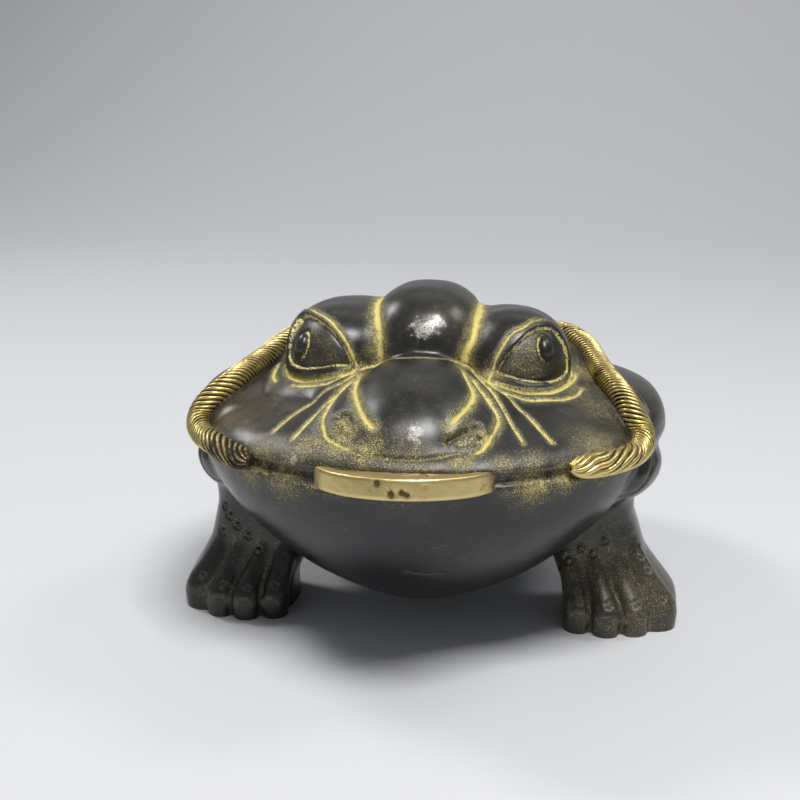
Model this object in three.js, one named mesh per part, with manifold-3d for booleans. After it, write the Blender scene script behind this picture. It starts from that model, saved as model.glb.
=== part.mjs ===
// Money toad: a hollow-cast bronze toad on three legs, with a twisted rope round its cheeks and
// over its back, and a square-holed cash coin held in its mouth.
// Millimetres, +Z up. The toad looks along -Y. The origin is on the floor, under the middle of the
// whole figure. The toad's left is +X.

import * as THREE from "three";
import { mergeVertices } from "three/addons/utils/BufferGeometryUtils.js";
import Module from "manifold-3d";

// Overall sizes of the casting
const figureWidth = 110; // over the two front feet
const figureLength = 120; // from the lips to the hind toes
const figureHeight = 72.5; // from the floor to the crown

// Mouth
const mouthOpening = 1.4; // height of the slot between the lips
const mouthDepth = 4; // how far the slot goes in behind the lips

// Cash coin and its seat in the mouth
const coinDiameter = 37;
const coinThickness = 3.4; // at the sunk field, between the rims
const coinRimHeight = 0.4; // rims above the field, on each face
const coinRimWidth = 2.6;
const coinHoleSide = 8;
const coinHoleRimWidth = 1.5;
const coinTilt = 9; // degrees, front edge up
const coinReach = 9; // how far the coin stands out in front of the lips
const coinClearance = 0.3; // between the coin and its seat, all round

// Rope
const ropeDiameter = 5;
const ropeStrands = 3;
const ropeLay = 11; // length of one full turn of a strand
const ropeGroove = 0.7; // depth of the grooves between strands
const ropeBedDepth = 1.6; // how far the bed under the rope lies inside it

// Engraved and raised lines
const lidRise = 0.45; // lids over the eyeball's own size
const whiteSink = 0.35; // the white of the eye under the eyeball's own size
const pupilDiameter = 4.2;
const pupilSink = 0.2; // how deep the pupil's middle lies in the eyeball, in pupil diameters
const nostrilDiameter = 3;
const toeWidth = 6.8;
const wartDiameter = 5.4; // the largest bosses on the back

// Places and reaches of the sculpted forms are in hundredths of the casting: x of its width, y of
// its length from its middle, z of its height from the floor.
const across = (share) => (share * figureWidth) / 100;
const along = (share) => (share * figureLength) / 100;
const upward = (share) => (share * figureHeight) / 100;
const place = ([x, y, z]) => new THREE.Vector3(across(x), along(y), upward(z));

const wasm = await Module();
wasm.setup();

// A closed geometry as a solid that can be joined and cut
function solid(geometry) {
  const bare = geometry.clone();
  bare.deleteAttribute("normal");
  bare.deleteAttribute("uv");
  const merged = mergeVertices(bare, 1e-4);
  const vertProperties = new Float32Array(merged.attributes.position.array);
  const triVerts = new Uint32Array(merged.index.array);
  return new wasm.Manifold(new wasm.Mesh({ numProp: 3, vertProperties, triVerts }));
}

function join(solids) {
  return solids.reduce((whole, piece) => whole.add(piece));
}

// The same form on the other side of the figure
function mirrored(geometry) {
  const other = geometry.clone().scale(-1, 1, 1);
  const index = other.index.array;
  for (let i = 0; i < index.length; i += 3) {
    [index[i + 1], index[i + 2]] = [index[i + 2], index[i + 1]];
  }
  return other;
}

const pair = (geometry) => [solid(geometry), solid(mirrored(geometry))];

// Closed skin over rings of points: each ring is joined to the next, and the two ends are closed
// by a fan, or joined to each other when the skin is an endless band.
function skin(rings, endless = false) {
  const sides = rings[0].length;
  const points = rings.flat();
  const triangles = [];
  const last = endless ? rings.length : rings.length - 1;
  for (let i = 0; i < last; i += 1) {
    const here = i * sides;
    const next = ((i + 1) % rings.length) * sides;
    for (let j = 0; j < sides; j += 1) {
      const k = (j + 1) % sides;
      const [a, b, c, d] = [here + j, here + k, next + k, next + j];
      const shortWay = points[a].distanceTo(points[c]) < points[b].distanceTo(points[d]);
      triangles.push(...(shortWay ? [a, b, c, a, c, d] : [a, b, d, b, c, d]));
    }
  }
  if (!endless) {
    for (const [ring, inward] of [[0, true], [rings.length - 1, false]]) {
      const middle = rings[ring].reduce((sum, p) => sum.add(p), new THREE.Vector3()).divideScalar(sides);
      const tip = points.length;
      points.push(middle);
      for (let j = 0; j < sides; j += 1) {
        const a = ring * sides + j;
        const b = ring * sides + ((j + 1) % sides);
        triangles.push(...(inward ? [b, a, tip] : [a, b, tip]));
      }
    }
  }
  const geometry = new THREE.BufferGeometry();
  geometry.setAttribute("position", new THREE.Float32BufferAttribute(points.flatMap((p) => p.toArray()), 3));
  geometry.setIndex(triangles);
  return geometry;
}

// A rounded mass with its own reach to each side. planPower and the up and down powers say how full
// it is: 2 is an ellipse, less is more pointed, more is squarer.
function egg({ centre, side, front, back, up, down, inner = side, pitch = 0, yaw = 0, roll = 0,
  planPower = 2, upPower = 2, downPower = 2, detail = [28, 16] }) {
  const ball = new THREE.SphereGeometry(1, detail[0], detail[1]);
  ball.rotateX(Math.PI / 2);
  const position = ball.attributes.position;
  const point = new THREE.Vector3();
  for (let i = 0; i < position.count; i += 1) {
    point.fromBufferAttribute(position, i);
    const rise = point.z > 0 ? upPower : downPower;
    const plan = (Math.abs(point.x) ** planPower + Math.abs(point.y) ** planPower) ** (1 / planPower);
    const full = (plan ** rise + Math.abs(point.z) ** rise) ** (1 / rise);
    point.divideScalar(full);
    point.x *= across(point.x > 0 ? side : inner);
    point.y *= along(point.y > 0 ? back : front);
    point.z *= upward(point.z > 0 ? up : down);
    position.setXYZ(i, point.x, point.y, point.z);
  }
  const turn = new THREE.Euler(
    THREE.MathUtils.degToRad(pitch), THREE.MathUtils.degToRad(roll), THREE.MathUtils.degToRad(yaw), "ZXY");
  ball.applyQuaternion(new THREE.Quaternion().setFromEuler(turn));
  const middle = place(centre);
  ball.translate(middle.x, middle.y, middle.z);
  ball.deleteAttribute("normal");
  ball.deleteAttribute("uv");
  return mergeVertices(ball, 1e-4);
}

// A bar or band of the given section along a route
function sweep(route, steps, section, endless = false) {
  const frames = route.computeFrenetFrames(steps, endless);
  const rings = [];
  for (let i = 0; i < (endless ? steps : steps + 1); i += 1) {
    const share = i / steps;
    const middle = route.getPointAt(share);
    rings.push(section(share).map(([a, b]) => middle.clone()
      .addScaledVector(frames.normals[i], a)
      .addScaledVector(frames.binormals[i], b)));
  }
  return skin(rings, endless);
}

function round(radius, sides) {
  return Array.from({ length: sides }, (_, i) => {
    const angle = (i / sides) * 2 * Math.PI;
    return [radius * Math.cos(angle), radius * Math.sin(angle)];
  });
}

// Rings of a standing form, each a squarish oval with its own middle and reaches, from the floor up
function column(levels, sides = 12, squareness = 2.8) {
  const full = (value) => Math.sign(value) * Math.abs(value) ** (2 / squareness);
  return skin(levels.map(({ centre, side, front, back }) => {
    const middle = place(centre);
    return Array.from({ length: sides }, (_, i) => {
      const angle = (i / sides) * 2 * Math.PI;
      const x = across(side) * full(Math.cos(angle));
      const y = along(Math.sin(angle) > 0 ? back : front) * full(Math.sin(angle));
      return new THREE.Vector3(middle.x + x, middle.y + y, middle.z);
    });
  }));
}

// Trunk, jaws and shoulders. The collar is the swelling behind each eye.
const trunk = {
  centre: [0, 7, 52], side: 41.5, front: 40, back: 42, up: 30.5, down: 42, upPower: 1.65, downPower: 1.8,
  detail: [28, 12],
};
const upperJaw = {
  centre: [0, -17.5, 62], side: 42.5, front: 32.5, back: 22, up: 12.5, down: 3, planPower: 2.1,
  detail: [28, 8],
};
const neck = {
  centre: [0, -6, 66], side: 40.5, front: 21.7, back: 25, up: 14.2, down: 14, detail: [20, 8],
};
const collar = {
  centre: [21, -3, 69], side: 12.4, inner: 14, front: 11, back: 13, up: 13.4, down: 10, planPower: 2.2,
  detail: [12, 8],
};
const throat = {
  centre: [0, -23.5, 58.5], side: 41.5, front: 26, back: 34, up: 4, down: 48.5, downPower: 1.55,
  detail: [28, 10],
};
const shoulderTop = {
  centre: [35.6, -12.5, 61.5], side: 10.6, inner: 9, front: 16, back: 20, up: 12.4, down: 11, upPower: 2.2,
  detail: [14, 8],
};
const shoulderLow = {
  centre: [34, -15.5, 51], side: 11.7, inner: 12, front: 15, back: 20, up: 9, down: 12, detail: [12, 8],
};

// Head. The two brows were modelled by hand and differ: the toad's right one is higher and fuller.
const noseDome = {
  centre: [0, -35.4, 69.5], side: 12.4, front: 13, back: 17, up: 12.1, down: 9, pitch: 20,
  planPower: 2.4, detail: [16, 8],
};
const forehead = {
  centre: [-0.5, -10, 80.5], side: 12.2, front: 13.3, back: 19, up: 19.5, down: 14, planPower: 2.4,
  upPower: 2.3, detail: [16, 8],
};
const browLeft = {
  centre: [15.3, -9.5, 82], side: 11.2, inner: 10, front: 13.3, back: 15, up: 11, down: 14, planPower: 2.2,
  downPower: 1.8, detail: [14, 8],
};
const browRight = {
  centre: [-15.3, -9.5, 83], side: 10, inner: 12.5, front: 13.3, back: 15, up: 11.7, down: 14, planPower: 2.2,
  upPower: 2.2, downPower: 1.8, detail: [14, 8],
};
const underEye = {
  centre: [17, -15, 70], side: 14, inner: 11, front: 12.5, back: 10, up: 7.5, down: 8, detail: [12, 6],
};
const eyeCorner = {
  centre: [10, -21, 71.5], side: 11, inner: 8, front: 10, back: 8, up: 6.5, down: 8, detail: [12, 6],
};
const nostrilWing = {
  centre: [11.5, -35.5, 68], side: 6, inner: 8, front: 9, back: 16, up: 6.6, down: 7, yaw: -10, pitch: 14,
  detail: [12, 6],
};
const nostril = [11, -42.6, 71.5];

// Each eyeball is set deep in its brow and looks a little outward and upward. The edge of its lids is
// given as places round the ball, from the inner corner over the top.
const eyeball = { centre: [17, -14.2, 78.5], radius: 16 };
const eyeLook = [0.36, -0.9, 0.25];
const eyeCut = { behind: 8, inFront: 12 }; // reach of the cut between the lids, from their edge
const leftEye = {
  side: 1,
  lids: [
    [14.4, -24, 79.4], [16, -23.3, 83.9], [18.1, -22.2, 87.4], [20.2, -20.4, 89.8], [22.2, -18.5, 90.4],
    [24.4, -16.5, 89.3], [25.8, -16.3, 86.6], [27, -16.1, 82.7], [27.1, -17.1, 76.9], [25.8, -19.8, 75.9],
    [23.7, -21.8, 75.9], [20.4, -23.5, 76.9], [17.2, -24.3, 78.2],
  ],
  pupil: [23.4, -20.6, 85.6],
};
const rightEye = {
  side: -1,
  lids: [
    [-13.5, -23.4, 80.4], [-14.3, -23, 84.6], [-16.1, -22.2, 88], [-18, -20.8, 90.3], [-20.5, -18.8, 91.7],
    [-23.1, -15.6, 91.8], [-25, -13.1, 90.5], [-25.9, -14.1, 88], [-26.2, -17.4, 81.5], [-25.6, -19.5, 79],
    [-23, -22.1, 78.6], [-19.5, -23.6, 79.5], [-16.7, -23.8, 80.3],
  ],
  pupil: [-23.6, -20.7, 85.1],
};

// Front legs and the hind leg, from the floor up, and the toes that run down their front slopes
const leftLeg = [
  { centre: [38.7, -13.3, -1.4], side: 11.3, front: 9.2, back: 10 },
  { centre: [38.7, -13.3, 8.3], side: 11.1, front: 8.8, back: 9.6 },
  { centre: [34, -12.1, 20.7], side: 9.4, front: 7.5, back: 8.8 },
  { centre: [31.9, -11.7, 33], side: 9, front: 7.9, back: 9.2 },
  { centre: [30.8, -11.7, 46], side: 10.1, front: 10, back: 11.7 },
];
const rightLeg = [
  { centre: [-38.7, -13.3, -1.4], side: 11.3, front: 9.2, back: 10 },
  { centre: [-38.7, -13.3, 8.3], side: 11.1, front: 8.8, back: 9.6 },
  { centre: [-34.4, -12.1, 20.7], side: 10.6, front: 7.5, back: 8.8 },
  { centre: [-32.8, -11.7, 33], side: 10.4, front: 7.9, back: 9.2 },
  { centre: [-31.8, -11.7, 46], side: 11.8, front: 10, back: 11.7 },
];
const frontToes = {
  count: 4, ankles: [[28.4, -16.6, 23], [39.5, -16, 23]], tips: [[30.6, -24.1], [46.4, -21.3]], bow: -2.4,
};
const hindToes = {
  count: 4, ankles: [[-7, 37.5, 21], [7, 37.5, 21]], tips: [[-10, 46], [10, 46]], bow: 4.5,
};
const knuckleHeight = 6.2;
const haunch = {
  centre: [0, 31, 36], side: 21, front: 18, back: 15.5, up: 30, down: 26, detail: [14, 8],
};
const hindLeg = [
  { centre: [0, 36.5, -1.4], side: 11.6, front: 9.5, back: 11.8 },
  { centre: [0, 36.5, 8], side: 11.2, front: 9.2, back: 11.2 },
  { centre: [0, 35, 22], side: 10.6, front: 9, back: 8.8 },
  { centre: [0, 32.5, 34], side: 11.5, front: 10, back: 10 },
];

// Rope route: from the left corner of the mouth round the edge of the cheek and up the shoulder
const ropeLeft = [
  [28.6, -43, 62.6], [33.1, -40.1, 61.9], [37.2, -36.9, 61.8], [40.8, -31.3, 61.8], [41.4, -27.3, 64.6],
  [39.9, -26, 68.7], [38.5, -23.7, 71.7], [36.8, -20.6, 73.8], [34.6, -14.4, 75.2], [32.6, -7.4, 76.5],
];
// then behind the eye and across the back, in plan, where it lies on the body
const ropeOver = [
  [30.5, -1.5], [26, 3.5], [19.8, 8], [10.5, 11.4], [0, 12.4], [-10.5, 11.4], [-19.8, 8], [-26, 3.5],
  [-30.9, -2],
];
// and down the other cheek to the right corner of the mouth
const ropeRight = [
  [-33.6, -7.8, 76], [-35.4, -14.4, 75], [-37.2, -20.8, 73.6], [-39.1, -23.1, 71.8], [-41.1, -24.5, 69.2],
  [-42.5, -25.3, 66.2], [-42.6, -27.2, 63.4], [-40.7, -30.6, 62], [-37, -35.8, 62.4], [-33.6, -39.5, 62.2],
  [-28.1, -43.9, 61.9],
];
const ropeRise = 0.18; // height of the rope's middle over the body, in rope diameters
const mouthReach = 28.8; // how far the lips part to each side

// Rows of bosses on each side of the back: where each row lies, and where it starts behind the rope
const wartRows = [[10, 24], [24, 17]];
const wartsPerRow = 2;
const wartSpacing = 11;
const wartShrink = 0.15; // each boss is smaller than the one before by this share of the first

// Height of the top of the body at a place in plan
function bodyTop(x, y) {
  const tops = [trunk, neck, upperJaw, shoulderTop, collar].map((form) => {
    const { centre, side, inner = side, front, back, up, planPower = 2, upPower = 2 } = form;
    const dx = (centre[0] > 0 ? Math.abs(x) : x) - centre[0];
    const dy = y - centre[1];
    const sideways = Math.abs(dx / (dx > 0 ? side : inner)) ** planPower;
    const lengthways = Math.abs(dy / (dy > 0 ? back : front)) ** planPower;
    const plan = (sideways + lengthways) ** (1 / planPower);
    return plan < 1 ? centre[2] + up * (1 - plan ** upPower) ** (1 / upPower) : 0;
  });
  return Math.max(...tops);
}

function ropeRoute() {
  const rise = new THREE.Vector3(0, 0, ropeRise * ropeDiameter);
  const over = ropeOver.map(([x, y]) => place([x, y, bodyTop(x, y)]).add(rise));
  const points = [...ropeLeft.map(place), ...over, ...ropeRight.map(place)];
  return new THREE.CatmullRomCurve3(points, false, "centripetal");
}

// The rope's section has a peak for each strand and a valley between two, and turns along the route
function rope() {
  const route = ropeRoute();
  const length = route.getLength();
  const corners = 2 * ropeStrands;
  const section = (share) => {
    const fromEnd = Math.min(share, 1 - share) * length;
    const size = Math.min(1, 0.5 + (0.5 * fromEnd) / ropeDiameter);
    const turned = ((share * length) / ropeLay) * 2 * Math.PI;
    return Array.from({ length: corners }, (_, i) => {
      const radius = size * (ropeDiameter / 2 - (i % 2) * ropeGroove);
      const angle = turned + (i / corners) * 2 * Math.PI;
      return [radius * Math.cos(angle), radius * Math.sin(angle)];
    });
  };
  return solid(sweep(route, Math.round((length / ropeLay) * corners), section));
}

// A smooth bed under the rope closes the gaps between its strands and the body
function ropeBed() {
  const inside = place(trunk.centre);
  const steps = ropeLeft.length + ropeOver.length + ropeRight.length;
  const points = ropeRoute().getSpacedPoints(steps)
    .map((point) => point.add(inside.clone().sub(point).setLength(ropeBedDepth)));
  const route = new THREE.CatmullRomCurve3(points, false, "centripetal");
  return solid(sweep(route, steps, () => round(ropeDiameter / 2 - ropeGroove, 6)));
}

function ball(radius, middle, detail) {
  const sphere = new THREE.SphereGeometry(radius, ...detail).translate(middle.x, middle.y, middle.z);
  sphere.deleteAttribute("normal");
  sphere.deleteAttribute("uv");
  return mergeVertices(sphere, 1e-4);
}

function eyeMiddle(side) {
  const middle = place(eyeball.centre);
  middle.x *= side;
  return middle;
}

// What is cut out between the lids, along the way the eye looks
function eyeOpening({ side, lids }) {
  const look = new THREE.Vector3(...eyeLook).normalize();
  look.x *= side;
  const edge = side > 0 ? lids.toReversed() : lids;
  const ring = (reach) => edge.map((at) => place(at).addScaledVector(look, reach));
  return solid(skin([ring(-eyeCut.behind), ring(eyeCut.inFront)]));
}

function eyeWhite({ side, pupil }) {
  const middle = eyeMiddle(side);
  const nub = place(pupil).lerp(middle, (pupilSink * pupilDiameter) / upward(eyeball.radius));
  const white = ball(upward(eyeball.radius) - whiteSink, middle, [14, 8]);
  return [solid(white), solid(ball(pupilDiameter / 2, nub, [7, 5]))];
}

// Toes lie side by side: each runs from the ankle down to a knuckle, and drops to the floor at its tip
function toes({ count, ankles, tips, bow }) {
  const radius = toeWidth / 2;
  const middleOfSlope = 0.55;
  return Array.from({ length: count }, (_, i) => {
    const share = i / (count - 1);
    const mix = (a, b) => a + (b - a) * share;
    const ankle = place(ankles[0].map((value, axis) => mix(value, ankles[1][axis])));
    const tipY = mix(tips[0][1], tips[1][1]) + bow * 4 * share * (1 - share);
    const tip = place([mix(tips[0][0], tips[1][0]), tipY, knuckleHeight]);
    tip.y -= Math.sign(tip.y - ankle.y) * radius;
    const slope = ankle.clone().lerp(tip, middleOfSlope);
    const foot = new THREE.Vector3(tip.x, tip.y, -radius);
    const route = new THREE.CatmullRomCurve3([ankle, slope, tip, foot], false, "centripetal");
    return sweep(route, 4, () => round(radius, 6));
  });
}

function legs() {
  const standing = [leftLeg, rightLeg, hindLeg].map((levels) => solid(column(levels)));
  return [...standing, solid(egg(haunch)), ...toes(frontToes).flatMap(pair), ...toes(hindToes).map(solid)];
}

// The slot follows the lips from one end of the rope to the other
function mouthSlot() {
  const [sideReach, frontReach] = [across(upperJaw.side), along(upperJaw.front)];
  const middleY = along(upperJaw.centre[1]);
  const turn = Math.asin(mouthReach / upperJaw.side);
  const [from, to] = [-Math.PI / 2 - turn, -Math.PI / 2 + turn];
  const wellOutside = 6;
  const lip = new THREE.Shape();
  lip.absellipse(0, middleY, sideReach + wellOutside, frontReach + wellOutside, from, to, false);
  lip.absellipse(0, middleY, sideReach - mouthDepth, frontReach - mouthDepth, to, from, true);
  lip.closePath();
  const slab = new THREE.ExtrudeGeometry(lip, {
    depth: mouthOpening, bevelEnabled: false, curveSegments: 20,
  });
  slab.translate(0, 0, upward(upperJaw.centre[2]) - mouthOpening);
  return solid(slab);
}

// Bosses on the back, in rows that run toward the rump and shrink
function warts() {
  return wartRows.flatMap(([x, startY]) => Array.from({ length: wartsPerRow }, (_, step) => {
    const y = startY + step * wartSpacing;
    const radius = (wartDiameter / 2) * (1 - step * wartShrink);
    return ball(radius, place([x, y, bodyTop(x, y)]), [6, 5]);
  }));
}

// A casting has no closed pockets: those left between the joined forms are filled
function withoutPockets(body) {
  return body.decompose().reduce((whole, shell) => (shell.volume() > whole.volume() ? shell : whole));
}

// The coin leans back into the mouth. Its front edge stands out in front of the lips.
const lipFront = [0, -50, 61];
const coinLean = THREE.MathUtils.degToRad(coinTilt);
const coinOverRims = coinThickness + 2 * coinRimHeight;
const coinBack = (coinDiameter / 2) * Math.cos(coinLean) + (coinOverRims / 2) * Math.sin(coinLean);
const coinDrop = (coinDiameter / 2 - coinReach) * Math.sin(coinLean);
const coinMiddle = place(lipFront).add(new THREE.Vector3(0, coinBack - coinReach, -coinDrop));

function setInMouth(geometry) {
  return geometry.rotateX(-coinLean).translate(coinMiddle.x, coinMiddle.y, coinMiddle.z);
}

function coinSeat() {
  const radius = coinDiameter / 2 + coinClearance;
  const height = coinOverRims + 2 * coinClearance;
  const disc = new THREE.CylinderGeometry(radius, radius, height, 32);
  return solid(setInMouth(disc.rotateX(Math.PI / 2)));
}

function coin() {
  const radius = coinDiameter / 2;
  const field = coinThickness / 2;
  const rim = field + coinRimHeight;
  const profile = [
    [0, -field], [radius - coinRimWidth, -field], [radius - coinRimWidth, -rim], [radius, -rim],
    [radius, rim], [radius - coinRimWidth, rim], [radius - coinRimWidth, field], [0, field],
  ].map(([r, h]) => new THREE.Vector2(r, h));
  const disc = new THREE.LatheGeometry(profile, 32).rotateX(Math.PI / 2);
  const rimSide = coinHoleSide + 2 * coinHoleRimWidth;
  const holeRim = new THREE.BoxGeometry(rimSide, rimSide, 2 * rim);
  const hole = new THREE.BoxGeometry(coinHoleSide, coinHoleSide, 4 * rim);
  return solid(disc).add(solid(holeRim)).subtract(solid(hole));
}

function toad() {
  const masses = [trunk, neck, upperJaw, throat, noseDome, forehead, browLeft, browRight];
  const sides = [collar, shoulderTop, shoulderLow, underEye, eyeCorner, nostrilWing];
  const eyes = [leftEye, rightEye];
  const lidRadius = upward(eyeball.radius) + lidRise;
  const lumps = [
    ...masses.map((form) => solid(egg(form))),
    ...sides.flatMap((form) => pair(egg(form))),
    ...pair(ball(lidRadius, place(eyeball.centre), [14, 8])),
    ...warts().flatMap(pair),
    ...legs(),
  ];
  const cuts = [
    mouthSlot(),
    coinSeat(),
    ...eyes.map(eyeOpening),
    ...pair(ball(nostrilDiameter / 2, place(nostril), [7, 5])),
  ];
  const cutBody = cuts.reduce((rest, cut) => rest.subtract(cut), join(lumps));
  const body = join([cutBody, ...eyes.flatMap(eyeWhite), ropeBed(), rope()]);
  const floor = new THREE.BoxGeometry(3 * figureWidth, 3 * figureLength, figureHeight);
  return withoutPockets(body.subtract(solid(floor.translate(0, 0, -figureHeight / 2))));
}

function mesh(name, body, material) {
  const { vertProperties, triVerts } = body.getMesh();
  const geometry = new THREE.BufferGeometry();
  geometry.setAttribute("position", new THREE.BufferAttribute(vertProperties, 3));
  geometry.setIndex(new THREE.BufferAttribute(triVerts, 1));
  geometry.computeVertexNormals();
  const piece = new THREE.Mesh(geometry, material);
  piece.name = name;
  return piece;
}

const darkBronze = new THREE.MeshStandardMaterial({ color: 0x2b2e2d, roughness: 0.35, metalness: 0.9 });
const coinBrass = new THREE.MeshStandardMaterial({ color: 0xb39a55, roughness: 0.4, metalness: 1 });

const toadMesh = mesh("toad", toad(), darkBronze);
const coinMesh = mesh("coin", coin(), coinBrass);
coinMesh.position.copy(coinMiddle);
coinMesh.rotation.x = -coinLean;

// The coin stands out in front of the lips, so the origin moves forward by half of that
const figure = new THREE.Group();
figure.add(toadMesh, coinMesh);
figure.position.y = coinReach / 2;

export default figure;
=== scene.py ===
# %% [markdown]
# # A cast money toad
#
# The real object is a small hollow bronze figure: a three-legged toad with a twisted rope round its
# cheeks and a square-holed cash coin in its mouth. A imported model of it, with the right size and the
# right places, is the fixed frame here. The looks are modelled round that frame, so every size below
# starts from the frame's own boxes.

# %% The frame and the tools
import math

import bmesh
import bpy
import numpy as np
from mathutils import Matrix, Vector, noise


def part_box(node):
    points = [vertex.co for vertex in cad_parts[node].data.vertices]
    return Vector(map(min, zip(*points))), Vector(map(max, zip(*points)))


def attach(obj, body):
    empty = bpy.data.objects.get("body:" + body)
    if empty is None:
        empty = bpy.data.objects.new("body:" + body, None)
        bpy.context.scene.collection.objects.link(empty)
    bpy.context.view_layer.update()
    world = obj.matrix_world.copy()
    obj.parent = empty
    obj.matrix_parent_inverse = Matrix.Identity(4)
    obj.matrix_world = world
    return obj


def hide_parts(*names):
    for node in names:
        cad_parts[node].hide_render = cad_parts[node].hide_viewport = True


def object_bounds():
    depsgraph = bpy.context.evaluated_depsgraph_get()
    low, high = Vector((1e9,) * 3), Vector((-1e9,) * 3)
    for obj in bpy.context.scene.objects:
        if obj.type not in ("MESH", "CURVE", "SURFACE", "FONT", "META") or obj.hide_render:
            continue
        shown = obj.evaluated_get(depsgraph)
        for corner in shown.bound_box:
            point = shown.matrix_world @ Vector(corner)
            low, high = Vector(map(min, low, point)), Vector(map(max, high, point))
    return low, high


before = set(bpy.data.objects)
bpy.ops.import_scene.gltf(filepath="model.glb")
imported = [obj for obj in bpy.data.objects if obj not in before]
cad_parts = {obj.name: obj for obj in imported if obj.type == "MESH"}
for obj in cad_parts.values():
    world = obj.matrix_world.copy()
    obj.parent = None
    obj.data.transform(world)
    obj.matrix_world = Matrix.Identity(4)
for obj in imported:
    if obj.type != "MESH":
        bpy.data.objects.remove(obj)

cad_low, cad_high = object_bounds()
MM = 0.001
print("frame", [round(v / MM, 1) for v in cad_high - cad_low], "mm")

# %% [markdown]
# ## Places in hundredths
#
# A sculptor carries proportions over from a sketch, not millimetres. Here too a place is given in
# hundredths of the casting: of its width from the middle, of its length from the middle, and of its
# height from the floor. The coin stands out in front of the lips, so the casting's own length is the
# frame's length less that reach.

# %% Width, length and height of the casting
COIN_REACH = 9 * MM
toad_low, toad_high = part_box("toad")
WIDTH = toad_high.x - toad_low.x
LENGTH = cad_high.y - cad_low.y - COIN_REACH
HEIGHT = toad_high.z
SHARES = np.array([WIDTH, LENGTH, HEIGHT]) / 100
ORIGIN = np.array([0, COIN_REACH / 2, 0])


def place(points):
    return np.asarray(points, float) * SHARES + ORIGIN


print("casting", (SHARES * 100 / MM).round(1), "mm")

# %% [markdown]
# ## The masses
#
# A clay modeller blocks a figure in with a few rounded lumps. Each lump here is an egg: a ball with
# its own reach to each side, a little squarer or more pointed where a power says so. Forms marked as
# pairs are repeated on the other side. `soft` is the radius, in millimetres, of the fillet that runs
# round a lump where it meets the ones before it: wide on the legs, almost none on the nose and eyes.

# %% Lumps of the body and head
MASSES = {
    "trunk": dict(centre=(0, 7, 52), side=41.5, front=40, back=42, up=30.5, down=42, up_power=1.65,
                  down_power=1.8),
    "neck": dict(centre=(0, -6, 66), side=40.5, front=21.7, back=25, up=14.2, down=14, soft=4),
    "collar": dict(centre=(21, -3, 69), side=12.4, inner=14, front=11, back=13, up=13.4, down=10,
                   plan_power=2.2, soft=3, pair=True),
    "haunch": dict(centre=(0, 31, 36), side=21, front=18, back=15.5, up=30, down=26, soft=7),
    "shoulder_low": dict(centre=(34, -15.5, 51), side=11.7, inner=12, front=15, back=20, up=9, down=12,
                         soft=1.6, pair=True),
    "shoulder_top": dict(centre=(35.6, -12.5, 61.5), side=10.6, inner=9, front=16, back=20, up=12.4, down=11,
                         up_power=2.2, soft=2.4, pair=True),
    "throat": dict(centre=(0, -23.5, 58.5), side=41.5, front=26, back=34, up=4, down=48.5, down_power=1.55,
                   soft=1),
    "upper_jaw": dict(centre=(0, -17.5, 62), side=42.5, front=32.5, back=22, up=12.5, down=3, plan_power=2.1,
                      soft=1.6),
    "brow_left": dict(centre=(15.3, -9.5, 82), side=11.2, inner=10, front=13.3, back=15, up=11, down=14,
                      plan_power=2.2, up_power=2, down_power=1.8, soft=2),
    "brow_right": dict(centre=(-15.3, -9.5, 83), side=10, inner=12.5, front=13.3, back=15, up=11.7, down=14,
                       plan_power=2.2, up_power=2.2, down_power=1.8, soft=2),
    "forehead": dict(centre=(-0.5, -10, 80.5), side=12.2, front=13.3, back=19, up=19.5, down=14,
                     plan_power=2.4, up_power=2.3, soft=3),
    "under_eye": dict(centre=(17, -15, 70), side=14, inner=11, front=12.5, back=10, up=7.5, down=8, soft=3,
                      pair=True),
    "eyeball": dict(centre=(17, -14.2, 78.5), ball=16, soft=1.2, pair=True),
    "nose": dict(centre=(0, -35.4, 69.5), side=12.4, front=13, back=17, up=12.1, down=9, pitch=20,
                 plan_power=2.4, soft=1.6),
    "eye_corner": dict(centre=(10, -21, 71.5), side=11, inner=8, front=10, back=8, up=6.5, down=8, soft=3,
                       pair=True),
    "nostril_wing": dict(centre=(11.5, -35.5, 68), side=6, inner=8, front=9, back=16, up=6.6, down=7,
                         yaw=-10, pitch=14, soft=3, pair=True),
}
EYE_RADIUS = MASSES["eyeball"]["ball"] * SHARES[2]


def prepared(name, centre, side=0, front=0, back=0, up=0, down=0, inner=None, ball=0, soft=0, pair=False,
             plan_power=2, up_power=2, down_power=2, pitch=0, yaw=0):
    """One egg with its reaches in metres, low ones first, and its turned axes as the columns of a matrix."""
    turn = Matrix.Rotation(math.radians(yaw), 3, "Z") @ Matrix.Rotation(math.radians(pitch), 3, "X")
    low = np.array([side if inner is None else inner, front, down]) * SHARES
    high = np.array([side, back, up]) * SHARES
    if ball:
        low = high = np.full(3, ball * SHARES[2])
    return dict(name=name, middle=place(centre), turn=np.array(turn), low=low, high=high, soft=soft * MM,
                pair=pair, plan=plan_power, up=up_power, down=down_power)


eggs = [prepared(name, **mass) for name, mass in MASSES.items()]
print(len(eggs), "lumps")

# %% [markdown]
# ## Legs and toes
#
# A leg is a standing column: a squarish oval at each of a few heights, which flares toward the floor.
# The toes are fingers that run down its front slope, bend at a knuckle and drop to the floor.

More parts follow.
